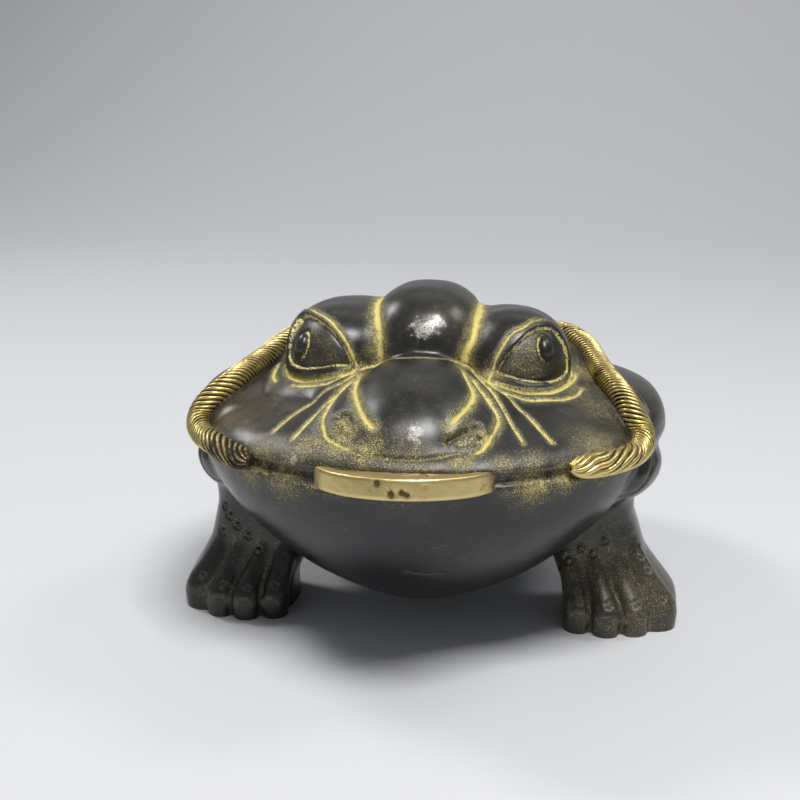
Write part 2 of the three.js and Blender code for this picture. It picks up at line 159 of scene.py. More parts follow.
# %% Places of the legs and toes
LEFT_LEG = [  # middle, side, front, back
    ((38.7, -13.3, -2), 11.3, 9.2, 10), ((38.7, -13.3, 8.3), 11.1, 8.8, 9.6),
    ((34, -12.1, 20.7), 9.4, 7.5, 8.8), ((31.9, -11.7, 33), 9, 7.9, 9.2), ((30.8, -11.7, 46), 10.1, 10, 11.7),
]
RIGHT_LEG = [
    ((-38.7, -13.3, -2), 11.3, 9.2, 10), ((-38.7, -13.3, 8.3), 11.1, 8.8, 9.6),
    ((-34.4, -12.1, 20.7), 10.6, 7.5, 8.8), ((-32.8, -11.7, 33), 10.4, 7.9, 9.2),
    ((-31.8, -11.7, 46), 11.8, 10, 11.7),
]
HIND_LEG = [
    ((0, 36.5, -2), 11.6, 9.5, 11.8), ((0, 36.5, 8), 11.2, 9.2, 11.2),
    ((0, 35, 22), 10.6, 9, 8.8), ((0, 32.5, 34), 11.5, 10, 10),
]
TOES_PER_FOOT = 4
FRONT_TOES = dict(ankles=((28.4, -16.6, 23), (39.5, -16, 23)), tips=((30.6, -24.1), (46.4, -21.3)), bow=-2.4)
HIND_TOES = dict(ankles=((-7, 37.5, 21), (7, 37.5, 21)), tips=((-10, 45.8), (10, 45.8)), bow=4.2)
print(TOES_PER_FOOT, "toes to a foot")

# %% [markdown]
# Both kinds of form are lofts, so the same short lists of places give the rough mesh now and the smooth
# surface later. A column is read off a table of its reaches at many heights, and a toe off a rounded line.

# %% Columns and toe routes
KNUCKLE_HEIGHT = 6.2
SLOPE_ANKLE, SLOPE_TIP = 0.45, 0.55
TOE_RADIUS = 3.4 * MM
TOE_SUNK = 1 * MM
COLUMN_POWER = 2.8


def averaged(rows, reach, mode="edge", **ends):
    """Rows of numbers with their small kinks averaged out, each with a given way to go on past its ends."""
    kernel = np.hanning(2 * reach + 1)
    kernel /= kernel.sum()
    padded = (np.pad(row, reach, mode=mode, **ends) for row in rows)
    return np.array([np.convolve(row, kernel, mode="valid") for row in padded])


def level_table(levels, steps=120, blur=9):
    """A column's middle and reaches at many heights, eased so that its sides have no kinks."""
    heights = np.array([middle[2] for middle, *_ in levels]) * SHARES[2]
    rows = np.array([(middle[0] * SHARES[0], middle[1] * SHARES[1] + ORIGIN[1], side * SHARES[0],
                      front * SHARES[1], back * SHARES[1]) for middle, side, front, back in levels])
    z = np.linspace(heights[0], heights[-1], steps)
    return z, averaged([np.interp(z, heights, row) for row in rows.T], blur)


def smooth_route(points, steps):
    """Points along a rounded curve through the given ones."""
    points = np.asarray(points, float)
    ends = np.vstack([2 * points[0] - points[1], points, 2 * points[-1] - points[-2]])
    out = []
    for a, b, c, d in zip(ends, ends[1:], ends[2:], ends[3:]):
        t = np.linspace(0, 1, steps, endpoint=False)[:, None]
        out.append(0.5 * (2 * b + (c - a) * t + (2 * a - 5 * b + 4 * c - d) * t ** 2
                          + (3 * b - a - 3 * c + d) * t ** 3))
    return np.vstack([*out, points[-1:]])


def toe_routes(ankles, tips, bow):
    """The middle lines of one foot's toes, from the first ankle and tip to the last."""
    routes = []
    for i in range(TOES_PER_FOOT):
        share = i / (TOES_PER_FOOT - 1)
        ankle = place(ankles[0]) * (1 - share) + place(ankles[1]) * share
        x = tips[0][0] * (1 - share) + tips[1][0] * share
        y = tips[0][1] * (1 - share) + tips[1][1] * share + bow * 4 * share * (1 - share)
        tip = place((x, y, KNUCKLE_HEIGHT))
        tip[1] -= math.copysign(TOE_RADIUS, tip[1] - ankle[1])
        slope = ankle * SLOPE_ANKLE + tip * SLOPE_TIP
        foot = np.array([tip[0], tip[1], -TOE_SUNK])
        routes.append(smooth_route([ankle, slope, tip, foot], 5))
    return routes


front_toes = toe_routes(**FRONT_TOES)
hind_toes = toe_routes(**HIND_TOES)
columns = [dict(levels=level_table(levels), soft=soft * MM)
           for levels, soft in ((LEFT_LEG, 3), (RIGHT_LEG, 3), (HIND_LEG, 4))]
print(len(columns), "columns,", len(front_toes) + len(hind_toes), "toe routes")

# %% [markdown]
# ## How far is a point from the casting?
#
# Voxels find the topology of many joined lumps quickly, but they leave a stepped surface. So the same
# lumps are also written as distance fields: each says how far a point is outside it, and which way is
# out. A soft minimum of two fields joins them with a true fillet. A coarse mesh can then be refined as
# often as needed, and every new vertex is laid exactly on the smooth casting.

# %% Distance fields of eggs and columns
def lengths(ways):
    return np.linalg.norm(ways, axis=1)


def egg_field(points, egg):
    local = (points - egg["middle"]) @ egg["turn"]
    reach = np.where(local > 0, egg["high"], egg["low"])
    x, y, z = np.maximum(np.abs(local / reach), 1e-6).T
    plan_power = egg["plan"]
    rise = np.where(local[:, 2] > 0, egg["up"], egg["down"])
    plan = (x ** plan_power + y ** plan_power) ** (1 / plan_power)
    full = (plan ** rise + z ** rise) ** (1 / rise)
    by_plan = (full / plan) ** (1 - rise)
    slope = np.stack([by_plan * (plan / x) ** (1 - plan_power), by_plan * (plan / y) ** (1 - plan_power),
                      (full / z) ** (1 - rise)], 1)
    slope *= np.sign(local) / reach
    steep = lengths(slope)
    return (full - 1) / steep, (slope / steep[:, None]) @ egg["turn"].T


def column_field(points, column):
    z, (mid_x, mid_y, side, front, back) = column["levels"]
    at = [np.interp(points[:, 2], z, row) for row in (mid_x, mid_y, side, front, back)]
    offset = points[:, :2] - np.stack(at[:2], 1)
    reach = np.stack([at[2], np.where(offset[:, 1] > 0, at[4], at[3])], 1)
    share = np.maximum(np.abs(offset / reach), 1e-6)
    full = (share ** COLUMN_POWER).sum(1) ** (1 / COLUMN_POWER)
    slope = (full[:, None] / share) ** (1 - COLUMN_POWER) * np.sign(offset) / reach
    steep = lengths(slope)
    out = np.zeros_like(points)
    out[:, :2] = slope / steep[:, None]
    value = (full - 1) / steep
    over = points[:, 2] - z[-1]
    out[over > value] = (0, 0, 1)
    return np.maximum(value, over), out


print("a column is read at", len(columns[0]["levels"][0]), "heights")

# %% [markdown]
# A toe is a chain of short straight stretches. Its field is the distance to the nearest of them, less a
# radius that grows toward the tip and swells at the knuckle.

# %% Distance fields of toes, and how two fields join
KNUCKLE_AT, KNUCKLE_SPREAD = 0.68, 0.16
TOE_NARROW, TOE_SWELL = 0.8, 0.14


def nearest_on_route(points, route):
    """Distance from each point to a chain of straight stretches, the way there and the share along it."""
    best = np.full(len(points), np.inf)
    away = np.zeros_like(points)
    share = np.zeros(len(points))
    for i, (a, b) in enumerate(zip(route, route[1:])):
        ab = b - a
        t = np.clip((points - a) @ ab / (ab @ ab), 0, 1)
        offset = points - a - t[:, None] * ab
        distance = lengths(offset)
        nearer = distance < best
        best[nearer], away[nearer] = distance[nearer], offset[nearer]
        share[nearer] = (i + t[nearer]) / (len(route) - 1)
    return best, away / np.maximum(best, 1e-9)[:, None], share


def toe_field(points, route):
    distance, away, share = nearest_on_route(points, route)
    knuckle = np.exp(-((share - KNUCKLE_AT) / KNUCKLE_SPREAD) ** 2)
    radius = TOE_RADIUS * (TOE_NARROW + TOE_SWELL * share + TOE_SWELL * knuckle)
    return distance - radius, away


def soft_union(one, other, soft):
    (a, way_a), (b, way_b) = one, other
    share = np.clip(0.5 + 0.5 * (b - a) / soft, 0, 1)
    value = share * a + (1 - share) * b - soft * share * (1 - share)
    return value, share[:, None] * way_a + (1 - share[:, None]) * way_b


print("a toe's line has", len(front_toes[0]), "points")

# %% [markdown]
# The casting's own field joins all lumps, then the legs, then the toes. Points on the right are folded over
# to the left for the forms that come in pairs, so a pair costs no more than one form. Newton's method takes
# a point to the surface: it moves by the distance along the way out, a few times over.

# %% The field of the whole casting
SIDES = np.array([[1.0, 1.0, 1.0], [-1.0, 1.0, 1.0]])
TOE_SOFT = 0.9 * MM
TOE_TOP = 24 * SHARES[2]
LEAST_SLOPE = 0.2
LARGEST_MOVE = 1.5 * MM


def casting_field(points):
    """Distance outside the whole casting and the way out, for points on either side."""
    fold = SIDES[(points[:, 0] < 0).astype(int)]
    left = points * fold
    whole = None
    for egg in eggs:
        value, way = egg_field(left if egg["pair"] else points, egg)
        here = value, way if egg["pair"] else way * fold
        whole = here if whole is None else soft_union(whole, here, egg["soft"])
    for column in columns:
        value, way = column_field(points, column)
        whole = soft_union(whole, (value, way * fold), column["soft"])
    value, way = whole
    low = left[:, 2] < TOE_TOP
    near = value[low], way[low]
    for route in front_toes:
        near = soft_union(near, toe_field(left[low], route), TOE_SOFT)
    for route in hind_toes:
        distance, away = toe_field(points[low], route)
        near = soft_union(near, (distance, away * fold[low]), TOE_SOFT)
    value[low], way[low] = near
    return value, way * fold


def laid_on(points, rounds=4):
    """Points moved straight onto the surface of the casting."""
    for _ in range(rounds):
        value, way = casting_field(points)
        length = np.maximum((way ** 2).sum(1), LEAST_SLOPE)
        points = points - np.clip(value / length, -LARGEST_MOVE, LARGEST_MOVE)[:, None] * way
    return points


crown = casting_field(place([(0, -10, 100)]))[0][0]
print("the crown's top is", round(crown / MM, 2), "mm outside the casting")

# %% [markdown]
# ## Joining the lumps
#
# On the real toad the lumps were wax or clay, pressed together until they were one skin. In Blender the
# voxel remesh does that: it keeps only the outer surface of many overlapping closed shells. One side of
# each pair is made and copied across, because a casting like this is nearly the same on both sides.

# %% Tools for shells
def set_places(verts, points):
    for vert, point in zip(verts, points):
        vert.co = point


def points_of(bm):
    return np.array([vert.co for vert in bm.verts])


def of_kind(geometry, kind):
    return [item for item in geometry if isinstance(item, kind)]


def add_egg(bm, egg):
    verts = bmesh.ops.create_uvsphere(bm, u_segments=36, v_segments=18, radius=1)["verts"]
    units = np.array([vert.co for vert in verts])
    x, y, z = np.abs(units).T
    rise = np.where(units[:, 2] > 0, egg["up"], egg["down"])
    plan = (x ** egg["plan"] + y ** egg["plan"]) ** (1 / egg["plan"])
    full = (plan ** rise + z ** rise) ** (1 / rise)
    local = units / full[:, None] * np.where(units > 0, egg["high"], egg["low"])
    set_places(verts, local @ egg["turn"].T + egg["middle"])
    return verts


def add_loft(bm, rings):
    """A closed skin through rings of points, each ring with as many points as the others."""
    loops = []
    for ring in rings:
        verts = bmesh.ops.create_circle(bm, segments=len(ring), radius=1)["verts"]
        set_places(verts, ring)
        loops.append(verts)
    edges = [list({edge for vert in loop for edge in vert.link_edges}) for loop in loops]
    for one, other in zip(edges, edges[1:]):
        bmesh.ops.bridge_loops(bm, edges=one + other)
    bmesh.ops.holes_fill(bm, edges=edges[0] + edges[-1])
    return [vert for loop in loops for vert in loop]


def add_other_side(bm, verts):
    geometry = set(verts)
    for vert in verts:
        geometry.update(vert.link_edges)
        geometry.update(vert.link_faces)
    copy = bmesh.ops.duplicate(bm, geom=list(geometry))["geom"]
    bmesh.ops.scale(bm, vec=(-1, 1, 1), verts=of_kind(copy, bmesh.types.BMVert))
    bmesh.ops.reverse_faces(bm, faces=of_kind(copy, bmesh.types.BMFace))


# %% [markdown]
# A leg's shell is a loft through squarish ovals, and a toe's is a loft through circles that turn with its
# route. They only have to be near the field's surface, so they have few sides.

# %% Rough shells
def column_rings(column, sides=28, rings=16):
    z, levels = column["levels"]
    angle = np.linspace(0, 2 * math.pi, sides, endpoint=False)
    share = 2 / COLUMN_POWER
    across, along = (np.sign(wave) * np.abs(wave) ** share for wave in (np.cos(angle), np.sin(angle)))
    for i in np.linspace(0, len(z) - 1, rings).astype(int):
        mid_x, mid_y, side, front, back = levels[:, i]
        y = along * np.where(along > 0, back, front)
        yield np.stack([mid_x + side * across, mid_y + y, np.full(sides, z[i])], 1)


def toe_rings(route, sides=14):
    for i, middle in enumerate(route):
        ahead = Vector(route[min(i + 1, len(route) - 1)] - route[max(i - 1, 0)])
        turn = np.array(ahead.to_track_quat("Z", "X").to_matrix())
        angle = np.linspace(0, 2 * math.pi, sides, endpoint=False)
        ring = TOE_RADIUS * np.stack([np.cos(angle), np.sin(angle), 0 * angle], 1)
        yield middle + ring @ turn.T


rough = bmesh.new()
for egg in eggs:
    shell = add_egg(rough, egg)
    if egg["pair"]:
        add_other_side(rough, shell)
for column in columns:
    add_loft(rough, list(column_rings(column)))
for route in front_toes:
    add_other_side(rough, add_loft(rough, list(toe_rings(route))))
for route in hind_toes:
    add_loft(rough, list(toe_rings(route)))
print("rough shells", len(rough.verts), "vertices")

# %% [markdown]
# The Remesh modifier fills the shells with voxels and draws one skin round them. A voxel of 1.2 mm is small
# enough to keep two toes apart and large enough to be quick. What the modifier makes is read back into a
# bmesh, because the next steps move single vertices.

# %% One skin from the shells
VOXEL = 1.2 * MM


def evaluated_bmesh(source):
    """What the modifiers make of an object, as a new bmesh. The object is removed."""
    seen = source.evaluated_get(bpy.context.evaluated_depsgraph_get())
    made = bmesh.new()
    made.from_mesh(seen.to_mesh())
    seen.to_mesh_clear()
    mesh = source.data
    bpy.data.objects.remove(source)
    bpy.data.meshes.remove(mesh)
    return made


def new_object(name, bm):
    mesh = bpy.data.meshes.new(name)
    bm.to_mesh(mesh)
    bm.free()
    for polygon in mesh.polygons:
        polygon.use_smooth = True
    thing = bpy.data.objects.new(name, mesh)
    bpy.context.collection.objects.link(thing)
    return thing


lumps = new_object("lumps", rough)
remesh = lumps.modifiers.new("join", "REMESH")
remesh.mode = "VOXEL"
remesh.voxel_size = VOXEL
skin = evaluated_bmesh(lumps)
print("voxel skin", len(skin.verts), "vertices")

# %% [markdown]
# ## Where the chaser cut
#
# The voxel skin will be laid on the smooth lumps. Where a chaser's tool cuts, the mesh has to be finer, so
# the engraved lines come first. They were cut by hand, and the left and the right ones differ a little.
# Each is listed by a few points of its route.

# %% Engraved lines
LINES = {  # half width and depth in millimetres, how full of gilding, routes in hundredths
    "upper whiskers": (0.3, 0.45, 1,
        [(9.1, -21.4, 79.8), (11.9, -25.5, 78.5), (14.7, -28.6, 77.1), (17.6, -30.1, 74.5),
         (20.3, -32.2, 71.6), (23, -36.7, 69.7), (25.3, -39.9, 67.6)],
        [(-12, -24.2, 78.7), (-14.5, -28.4, 77.3), (-18.5, -29.7, 73.6), (-21.9, -34, 70.8),
         (-24.8, -39.7, 67.8)]),
    "lower whiskers": (0.3, 0.45, 1,
        [(10, -23.4, 78.9), (11.4, -26.3, 78.5), (13.9, -30, 76.9), (16.2, -33.9, 73.9),
         (18.3, -37.5, 70.7), (20.5, -41.8, 68)],
        [(-11.2, -25.9, 78.6), (-13.5, -30.5, 76.8), (-16.2, -34.3, 73.8), (-18.6, -38, 70.3),
         (-20.6, -42.8, 67.3)]),
    "nose": (0.6, 0.6, 1,
        [(8.1, -26.6, 81.5), (9.3, -29.4, 80.1), (10.4, -31.4, 78.5), (11, -33.8, 77.1), (10.3, -37.4, 76),
         (9.1, -40.4, 74.9), (7.3, -43.6, 73)],
        [(-11.3, -25.2, 78.6), (-11.1, -32.1, 77.6), (-10.1, -36.3, 76.7), (-8, -41.6, 74.8),
         (-6.5, -43.8, 73.5), (-5.4, -44.8, 72.6)]),
    "wings": (0.5, 0.55, 0.9,
        [(9.8, -27.5, 79.6), (11.4, -29.7, 78), (13.4, -32.9, 75.9), (15.7, -37, 72.9), (15.5, -39.9, 71.2),
         (13.7, -44.5, 68.1), (12, -46, 67.1)],
        [(-11.8, -26.7, 78.3), (-14.5, -32.5, 75.6), (-15.8, -38.3, 72.1), (-15, -41.5, 70.3),
         (-13.6, -43.9, 68.8), (-9, -46.4, 67.2)]),
    "forehead": (0.8, 0.5, 1,
        [(9.8, 0, 93.5), (9.9, -13.7, 92.5), (9.8, -18, 89.8), (9.4, -19.8, 87), (8.4, -20.7, 83.9),
         (7.9, -21.1, 80.5)],
        [(-10.3, -2, 95), (-9.7, -14.6, 94.4), (-9.1, -17.7, 92.5), (-8.6, -19.6, 90.1),
         (-8.2, -20.9, 86.8), (-7.9, -21.6, 81)]),
    "crease": (0.3, 0.35, 0.9,
        [(-12.1, -23.9, 78.9), (-10.3, -22.3, 79.5), (-7, -22.2, 81.5), (-3.5, -26, 84), (0.2, -26.2, 84.4),
         (3.9, -25.3, 83.8), (6.3, -22.1, 81.8), (8.7, -21.3, 79.9), (11.2, -24.6, 78.7)]),
    "lower lids": (0.36, 0.4, 1,
        [(13, -26.1, 78.2), (15.3, -27.6, 77.3), (17.9, -27, 75.8), (21.1, -25.3, 74.5), (24.6, -23.8, 74),
         (26.9, -20.9, 74.3), (28.5, -17.1, 74.8), (29, -13.6, 75.4)],
        [(-12.2, -23.5, 79.4), (-14.1, -24.8, 78.6), (-16.9, -25.2, 77.4), (-19.9, -24, 76.1),
         (-22.2, -23.3, 75.2), (-24.6, -21.9, 75), (-26.8, -18.9, 75.2), (-28.4, -14, 75.7)]),
    "under the lids": (0.36, 0.35, 0.95,
        [(13.1, -27.4, 77.9), (15.9, -29.2, 76.3), (19.1, -27.9, 74.2), (22.8, -26.4, 73),
         (26.5, -24.5, 72.4), (29.2, -21.4, 72.4), (30.2, -18.9, 73.1)],
        [(-12.4, -24, 79), (-16.6, -26.9, 76.9), (-19.1, -25.8, 75.5), (-24.8, -23.8, 73.9)],
        [(-28.9, -20.1, 73.3), (-30.1, -17.1, 73.9), (-30.2, -12, 75.1)]),
    "under the nose": (0.5, 0.3, 0.45,
        [(-12.2, -45.5, 67.5), (-5.6, -47.8, 66.4), (3.1, -48.2, 66.3), (11.4, -45.7, 67.5)]),
    "lower lip": (0.5, 0.3, 0.5,
        [(33.2, -38.1, 59.4), (26.9, -43.2, 58.9), (21.8, -45.6, 58), (17.6, -47, 56.9)],
        [(-38.3, -33.6, 58.3), (-27.3, -43.1, 58.6), (-21.2, -45.8, 57.7), (-10.9, -48.5, 56.4)]),
    "throat": (0.28, 0.22, 0.1,
        [(-0.7, -41.3, 29.7), (2.9, -40.9, 29.1), (6.5, -40.7, 29.6)],
        [(5.9, -43.2, 34.8), (8.6, -43.6, 36.7), (11.4, -44.2, 39.6)],
        [(4.4, -45.3, 39.9), (7.9, -45.3, 41), (11.1, -45.2, 42.2)]),
    "upper lobes": (0.5, 0.35, 0.25,
        [(35.8, -12, 74), (39.1, -16.3, 73.1), (41.5, -20.4, 70.3), (42.8, -22.9, 66.3),
         (42.9, -24.2, 61.9), (41.9, -24.5, 57.6)]),
    "lower lobes": (0.5, 0.35, 0.2,
        [(44.1, -20, 55.3), (43.5, -24.1, 52.1), (42.2, -25.8, 48.8), (39.9, -27.2, 46.5),
         (36.7, -30.5, 46.5)]),
}
print(sum(len(routes) for _, _, _, *routes in LINES.values()), "cuts listed")

# %% [markdown]
# Each route is rounded and laid on the casting. The cuts round the shoulders' lobes are the same on both
# sides. Only the mouth isn't listed: it follows the outline of the upper jaw.

# %% Laying the lines on the casting
PAIRED = ("upper lobes", "lower lobes")
MOUTH_REACH = 31
MOUTH_HEIGHT = 61.2
MOUTH_WIDTH, MOUTH_DEPTH, MOUTH_GILT = 0.75 * MM, 2.2 * MM, 0.3


def laid_route(points, steps=8):
    return laid_on(smooth_route(points, steps), 6)


def mouth_route():
    """Along the front of the jaw, from the end of the rope on one side to the other."""
    jaw = MASSES["upper_jaw"]
    x = np.linspace(-MOUTH_REACH, MOUTH_REACH, 24)
    y = jaw["centre"][1] - jaw["front"] * np.sqrt(1 - (x / jaw["side"]) ** 2)
    return place(np.column_stack([x, y, np.full(len(x), MOUTH_HEIGHT)]))


carved = []
for name, (width, depth, gilt, *routes) in LINES.items():
    for points in routes:
        carved.append((laid_route(place(points)), width * MM, depth * MM, gilt, True))
        if name in PAIRED:
            carved.append((carved[-1][0] * SIDES[1], *carved[-1][1:]))
carved.append((laid_route(mouth_route(), 3), MOUTH_WIDTH, MOUTH_DEPTH, MOUTH_GILT, False))
print(len(carved), "carved lines")

# %% [markdown]
# ## The eyes
#
# The eye is a ball in the brow. The chaser cut two closed lines round it: the edge of the white, and the
# fold outside the lids. The band left between them is the lid. The two eyes were cut by hand, and their
# lines differ a little.

# %% Eye lines
EYE = place(MASSES["eyeball"]["centre"])
EYE_LINES = [  # side, the white's edge, the lids' fold, the middle of the pupil
    (0,
     [(14.4, -24, 79.4), (16, -23.3, 83.9), (18.1, -22.2, 87.4), (20.2, -20.4, 89.8), (22.2, -18.5, 90.4),
      (24.4, -16.5, 89.3), (25.8, -16.3, 86.6), (27, -16.1, 82.7), (27.3, -16.3, 78.8), (27.1, -17.1, 76.9),
      (25.8, -19.8, 75.9), (23.7, -21.8, 75.9), (20.4, -23.5, 76.9), (17.2, -24.3, 78.2)],
     [(13, -26.1, 78.2), (13.8, -23.3, 81.7), (15.1, -22.6, 86.2), (16.9, -21, 89.9), (19, -19.8, 91.2),
      (20.5, -17.9, 92.3), (22.1, -16.2, 92.1), (24, -14, 90.4), (25.6, -12, 88.3), (27.2, -11.5, 84),
      (27.9, -11.5, 80), (28.2, -13.6, 76.4), (27.4, -19.1, 74.8), (24.6, -23.4, 74.2), (21.1, -25.2, 74.6),
      (17.9, -27, 75.8), (15.3, -27.6, 77.3)],
     (23.4, -20.6, 85.6)),
    (1,
     [(-13.5, -23.4, 80.4), (-14.3, -23, 84.6), (-16.1, -22.2, 88), (-18, -20.8, 90.3),
      (-20.5, -18.8, 91.7), (-23.1, -15.6, 91.8), (-25, -13.1, 90.5), (-25.9, -14.1, 88),
      (-26.2, -15.7, 85), (-26.2, -17.4, 81.5), (-25.6, -19.5, 79), (-23, -22.1, 78.6),
      (-19.5, -23.6, 79.5), (-16.7, -23.8, 80.3)],
     [(-12.3, -23.2, 79.9), (-13.1, -22.9, 83.3), (-14.6, -22.3, 87.5), (-16.5, -20.9, 90.4),
      (-18.5, -19.1, 92.2), (-21.3, -16.1, 93), (-24.3, -10.3, 91.6), (-26.3, -10.8, 89.2),
      (-27.2, -11, 86), (-27.7, -12, 81), (-28, -14.7, 75.8), (-26, -20.2, 75.2), (-22.2, -23.3, 75.2),
      (-19.9, -24, 76.1), (-16.9, -25.2, 77.4), (-14.1, -24.8, 78.6)],
     (-23.6, -20.7, 85.1)),
]


def closed_route(points):
    return laid_route(place([points[-1], *points, points[0], points[1]]), 5)[5:-5]


EYES = [(SIDES[side], closed_route(edge), closed_route(fold), place(pupil))
        for side, edge, fold, pupil in EYE_LINES]
print("eyes of radius", round(EYE_RADIUS / MM, 1), "mm")

# %% [markdown]
# ## From steps to a smooth casting
#
# The voxel skin is laid on the smooth lumps, then eased along itself so that its squares stay even. Most of
# it is far from most lines, so a distance to a route is only worked out near that route.

# %% Evening out, and distances to routes
def settle(bm, rounds):
    """Evens the mesh out along the surface and lays it back on."""
    for _ in range(rounds):
        bmesh.ops.smooth_vert(bm, verts=bm.verts, factor=0.5, use_axis_x=True, use_axis_y=True,
                              use_axis_z=True)
        set_places(bm.verts, laid_on(points_of(bm), 2))


def reach_to(points, route, limit):
    """Distance to a route and the share along it, worked out only for points near its box."""
    distance = np.full(len(points), limit)
    share = np.zeros(len(points))
    near = ((points > route.min(0) - limit) & (points < route.max(0) + limit)).all(1)
    if near.any():
        distance[near], _, share[near] = nearest_on_route(points[near], route)
    return np.minimum(distance, limit), share


voxels_off = np.median(np.abs(casting_field(points_of(skin))[0]))
print("half of the voxel skin is more than", round(voxels_off / MM, 2), "mm off the smooth lumps")

# %% [markdown]
# Edges are halved where they are too long: they end up two thirds of a millimetre long over the face and
# 0.3 mm along each line, round each punched ring and on the pupils. The back, where nothing is cut, keeps
# its voxels.

# %% How fine the skin has to be
RINGS = [  # toad's left leg, then its right leg, in hundredths
    (35.1, -19.5, 27.3), (32.9, -19.6, 23.1), (26.1, -18.5, 16.4), (43.8, -18.5, 18.2), (42.4, -17.8, 21.8),
    (40.8, -17.4, 26.3), (28.3, -19.7, 20.6), (30.5, -19.5, 24.4),
    (-38.1, -19.3, 27.2), (-35.9, -19.6, 24.2), (-33.9, -20.2, 19.8), (-41.6, -18.3, 24.6),
    (-39.6, -18.8, 30), (-40.8, -18.1, 32.8),
]
RING_RADIUS = 0.85 * MM
LINE_BAND = 1.3 * MM
FINE_EDGE = 0.3 * MM
TOE_EDGE = 0.5 * MM
FACE_EDGE = 0.68 * MM
PUPIL_REACH = 3.5 * MM
TOO_LONG = 1.35
FACE_BACK, FACE_FOOT = place((0, -2, 0))[1], 20 * MM
FOOT_TOP, FOOT_GAP = 22 * MM, 5 * MM
TOES_BACK, TOES_HIGH = place((0, -14, 0))[1], 9 * MM


def wanted_edge(points):
    """The edge length that the surface needs at each point."""
    x, y, z = points.T
    face = (y < FACE_BACK) & (z > FACE_FOOT)
    foot = (z < FOOT_TOP) & (np.abs(y) > FOOT_GAP)
    length = np.where(face | foot, FACE_EDGE, VOXEL)
    bands = [(route, LINE_BAND + 0.5 * width) for route, width, *_ in carved]
    bands += [(loop, LINE_BAND) for _, *loops, _ in EYES for loop in loops]
    for route, band in bands:
        length[reach_to(points, route, 2 * band)[0] < band] = FINE_EDGE
    length[(z < TOES_HIGH) & (y < TOES_BACK)] = TOE_EDGE
    spots = [(pupil, PUPIL_REACH) for *_, pupil in EYES]
    spots += [(place(ring), 2.2 * RING_RADIUS) for ring in RINGS]
    for middle, reach in spots:
        length[lengths(points - middle) < reach] = FINE_EDGE
    return length


def refine(bm):
    bm.edges.ensure_lookup_table()
    ends = np.array([[vert.co for vert in edge.verts] for edge in bm.edges])
    long = lengths(ends[:, 0] - ends[:, 1]) > TOO_LONG * wanted_edge(ends.mean(1))
    edges = [bm.edges[i] for i in np.flatnonzero(long)]
    bmesh.ops.subdivide_edges(bm, edges=edges, cuts=1, use_grid_fill=True)
    set_places(bm.verts, laid_on(points_of(bm), 3))


print(len(RINGS), "punched rings, edges from", FINE_EDGE / MM, "to", VOXEL / MM, "mm")

# %% [markdown]
# Halving once brings most of the face down to its edge length, and a second time the lines. The skin is
# evened out in between, and once more when all its faces are triangles.

# %% Laying, easing and refining the skin
set_places(skin.verts, laid_on(points_of(skin), 5))
settle(skin, 4)
refine(skin)
settle(skin, 2)
refine(skin)
bmesh.ops.triangulate(skin, faces=skin.faces)
settle(skin, 1)
print("fine skin", len(skin.faces), "triangles")

# %% [markdown]
# ## The rope's route
#
# The rope leaves the corner of the mouth, runs round the edge of the cheek, climbs the shoulder behind
# the eye and crosses the back. On the cheeks its places are given outright. Over the back only the plan is
# given: the route is let down there like a plumb line until it touches the body.

# %% Route
ROPE_LEFT = [(28.6, -43, 62.6), (33.1, -40.1, 61.9), (37.2, -36.9, 61.8), (40.8, -31.3, 61.8),
             (41.4, -27.3, 64.6), (39.9, -26, 68.7), (38.5, -23.7, 71.7), (36.8, -20.6, 73.8),
             (34.6, -14.4, 75.2), (32.6, -7.4, 76.5)]
ROPE_RIGHT = [(-28.1, -43.9, 61.9), (-30.2, -42.4, 61.9), (-33.6, -39.5, 62.2), (-37, -35.8, 62.4),
              (-40.7, -30.6, 62), (-42.6, -27.2, 63.4), (-42.5, -25.3, 66.2), (-41.1, -24.5, 69.2),
              (-39.1, -23.1, 71.8), (-37.2, -20.8, 73.6), (-35.4, -14.4, 75), (-33.6, -7.8, 76)]
ROPE_OVER = [(30.5, -1.5), (26, 3.5), (19.8, 8), (10.5, 11.4), (0, 12.4), (-10.5, 11.4), (-19.8, 8),
             (-26, 3.5), (-30.9, -2)]
ROPE_DIAMETER = 5 * MM
ROPE_RISE = 0.18 * ROPE_DIAMETER
ROPE_STEP = 0.35 * MM
ROPE_EASE = 8
ABOVE_ALL = 104
LET_DOWN = 0.9


def resting(plan):
    """Where a plumb line let down at each place in plan touches the casting."""
    points = place([(x, y, ABOVE_ALL) for x, y in plan])
    for _ in range(40):
        points[:, 2] -= LET_DOWN * casting_field(points)[0]
    return points


def even_steps(route, step):
    """The same route with points a step apart, and their distances from its start."""
    along = np.concatenate([[0], np.cumsum(lengths(np.diff(route, axis=0)))])
    even = np.linspace(0, along[-1], int(along[-1] / step) + 1)
    return np.stack([np.interp(even, along, axis) for axis in route.T], 1), even


over_back = resting(ROPE_OVER) + (0, 0, ROPE_RISE)
rope_route = smooth_route([*place(ROPE_LEFT), *over_back, *place(ROPE_RIGHT)[::-1]], 12)
rope_route, _ = even_steps(rope_route, ROPE_STEP)
rope_route = averaged(rope_route.T, ROPE_EASE, mode="reflect", reflect_type="odd").T
rope_route, rope_along = even_steps(rope_route, ROPE_STEP)
print("rope", round(rope_along[-1] / MM), "mm long")

# %% [markdown]
# ## Carving
#
# A chaser works a casting with punches and gravers: each stroke lowers a narrow band or raises what is
# left between two strokes. Here each stroke is a function of the distance to its line. It moves the fine
# mesh in or out along the surface, and also notes how much gilding the stroke holds, which the finish
# reads later.

# %% Strokes
base = points_of(skin)
_, outward = casting_field(base)
outward /= lengths(outward)[:, None]
lift = np.zeros(len(base))
finish = {name: np.zeros(len(base)) for name in ("gold", "dust", "worn", "brown")}


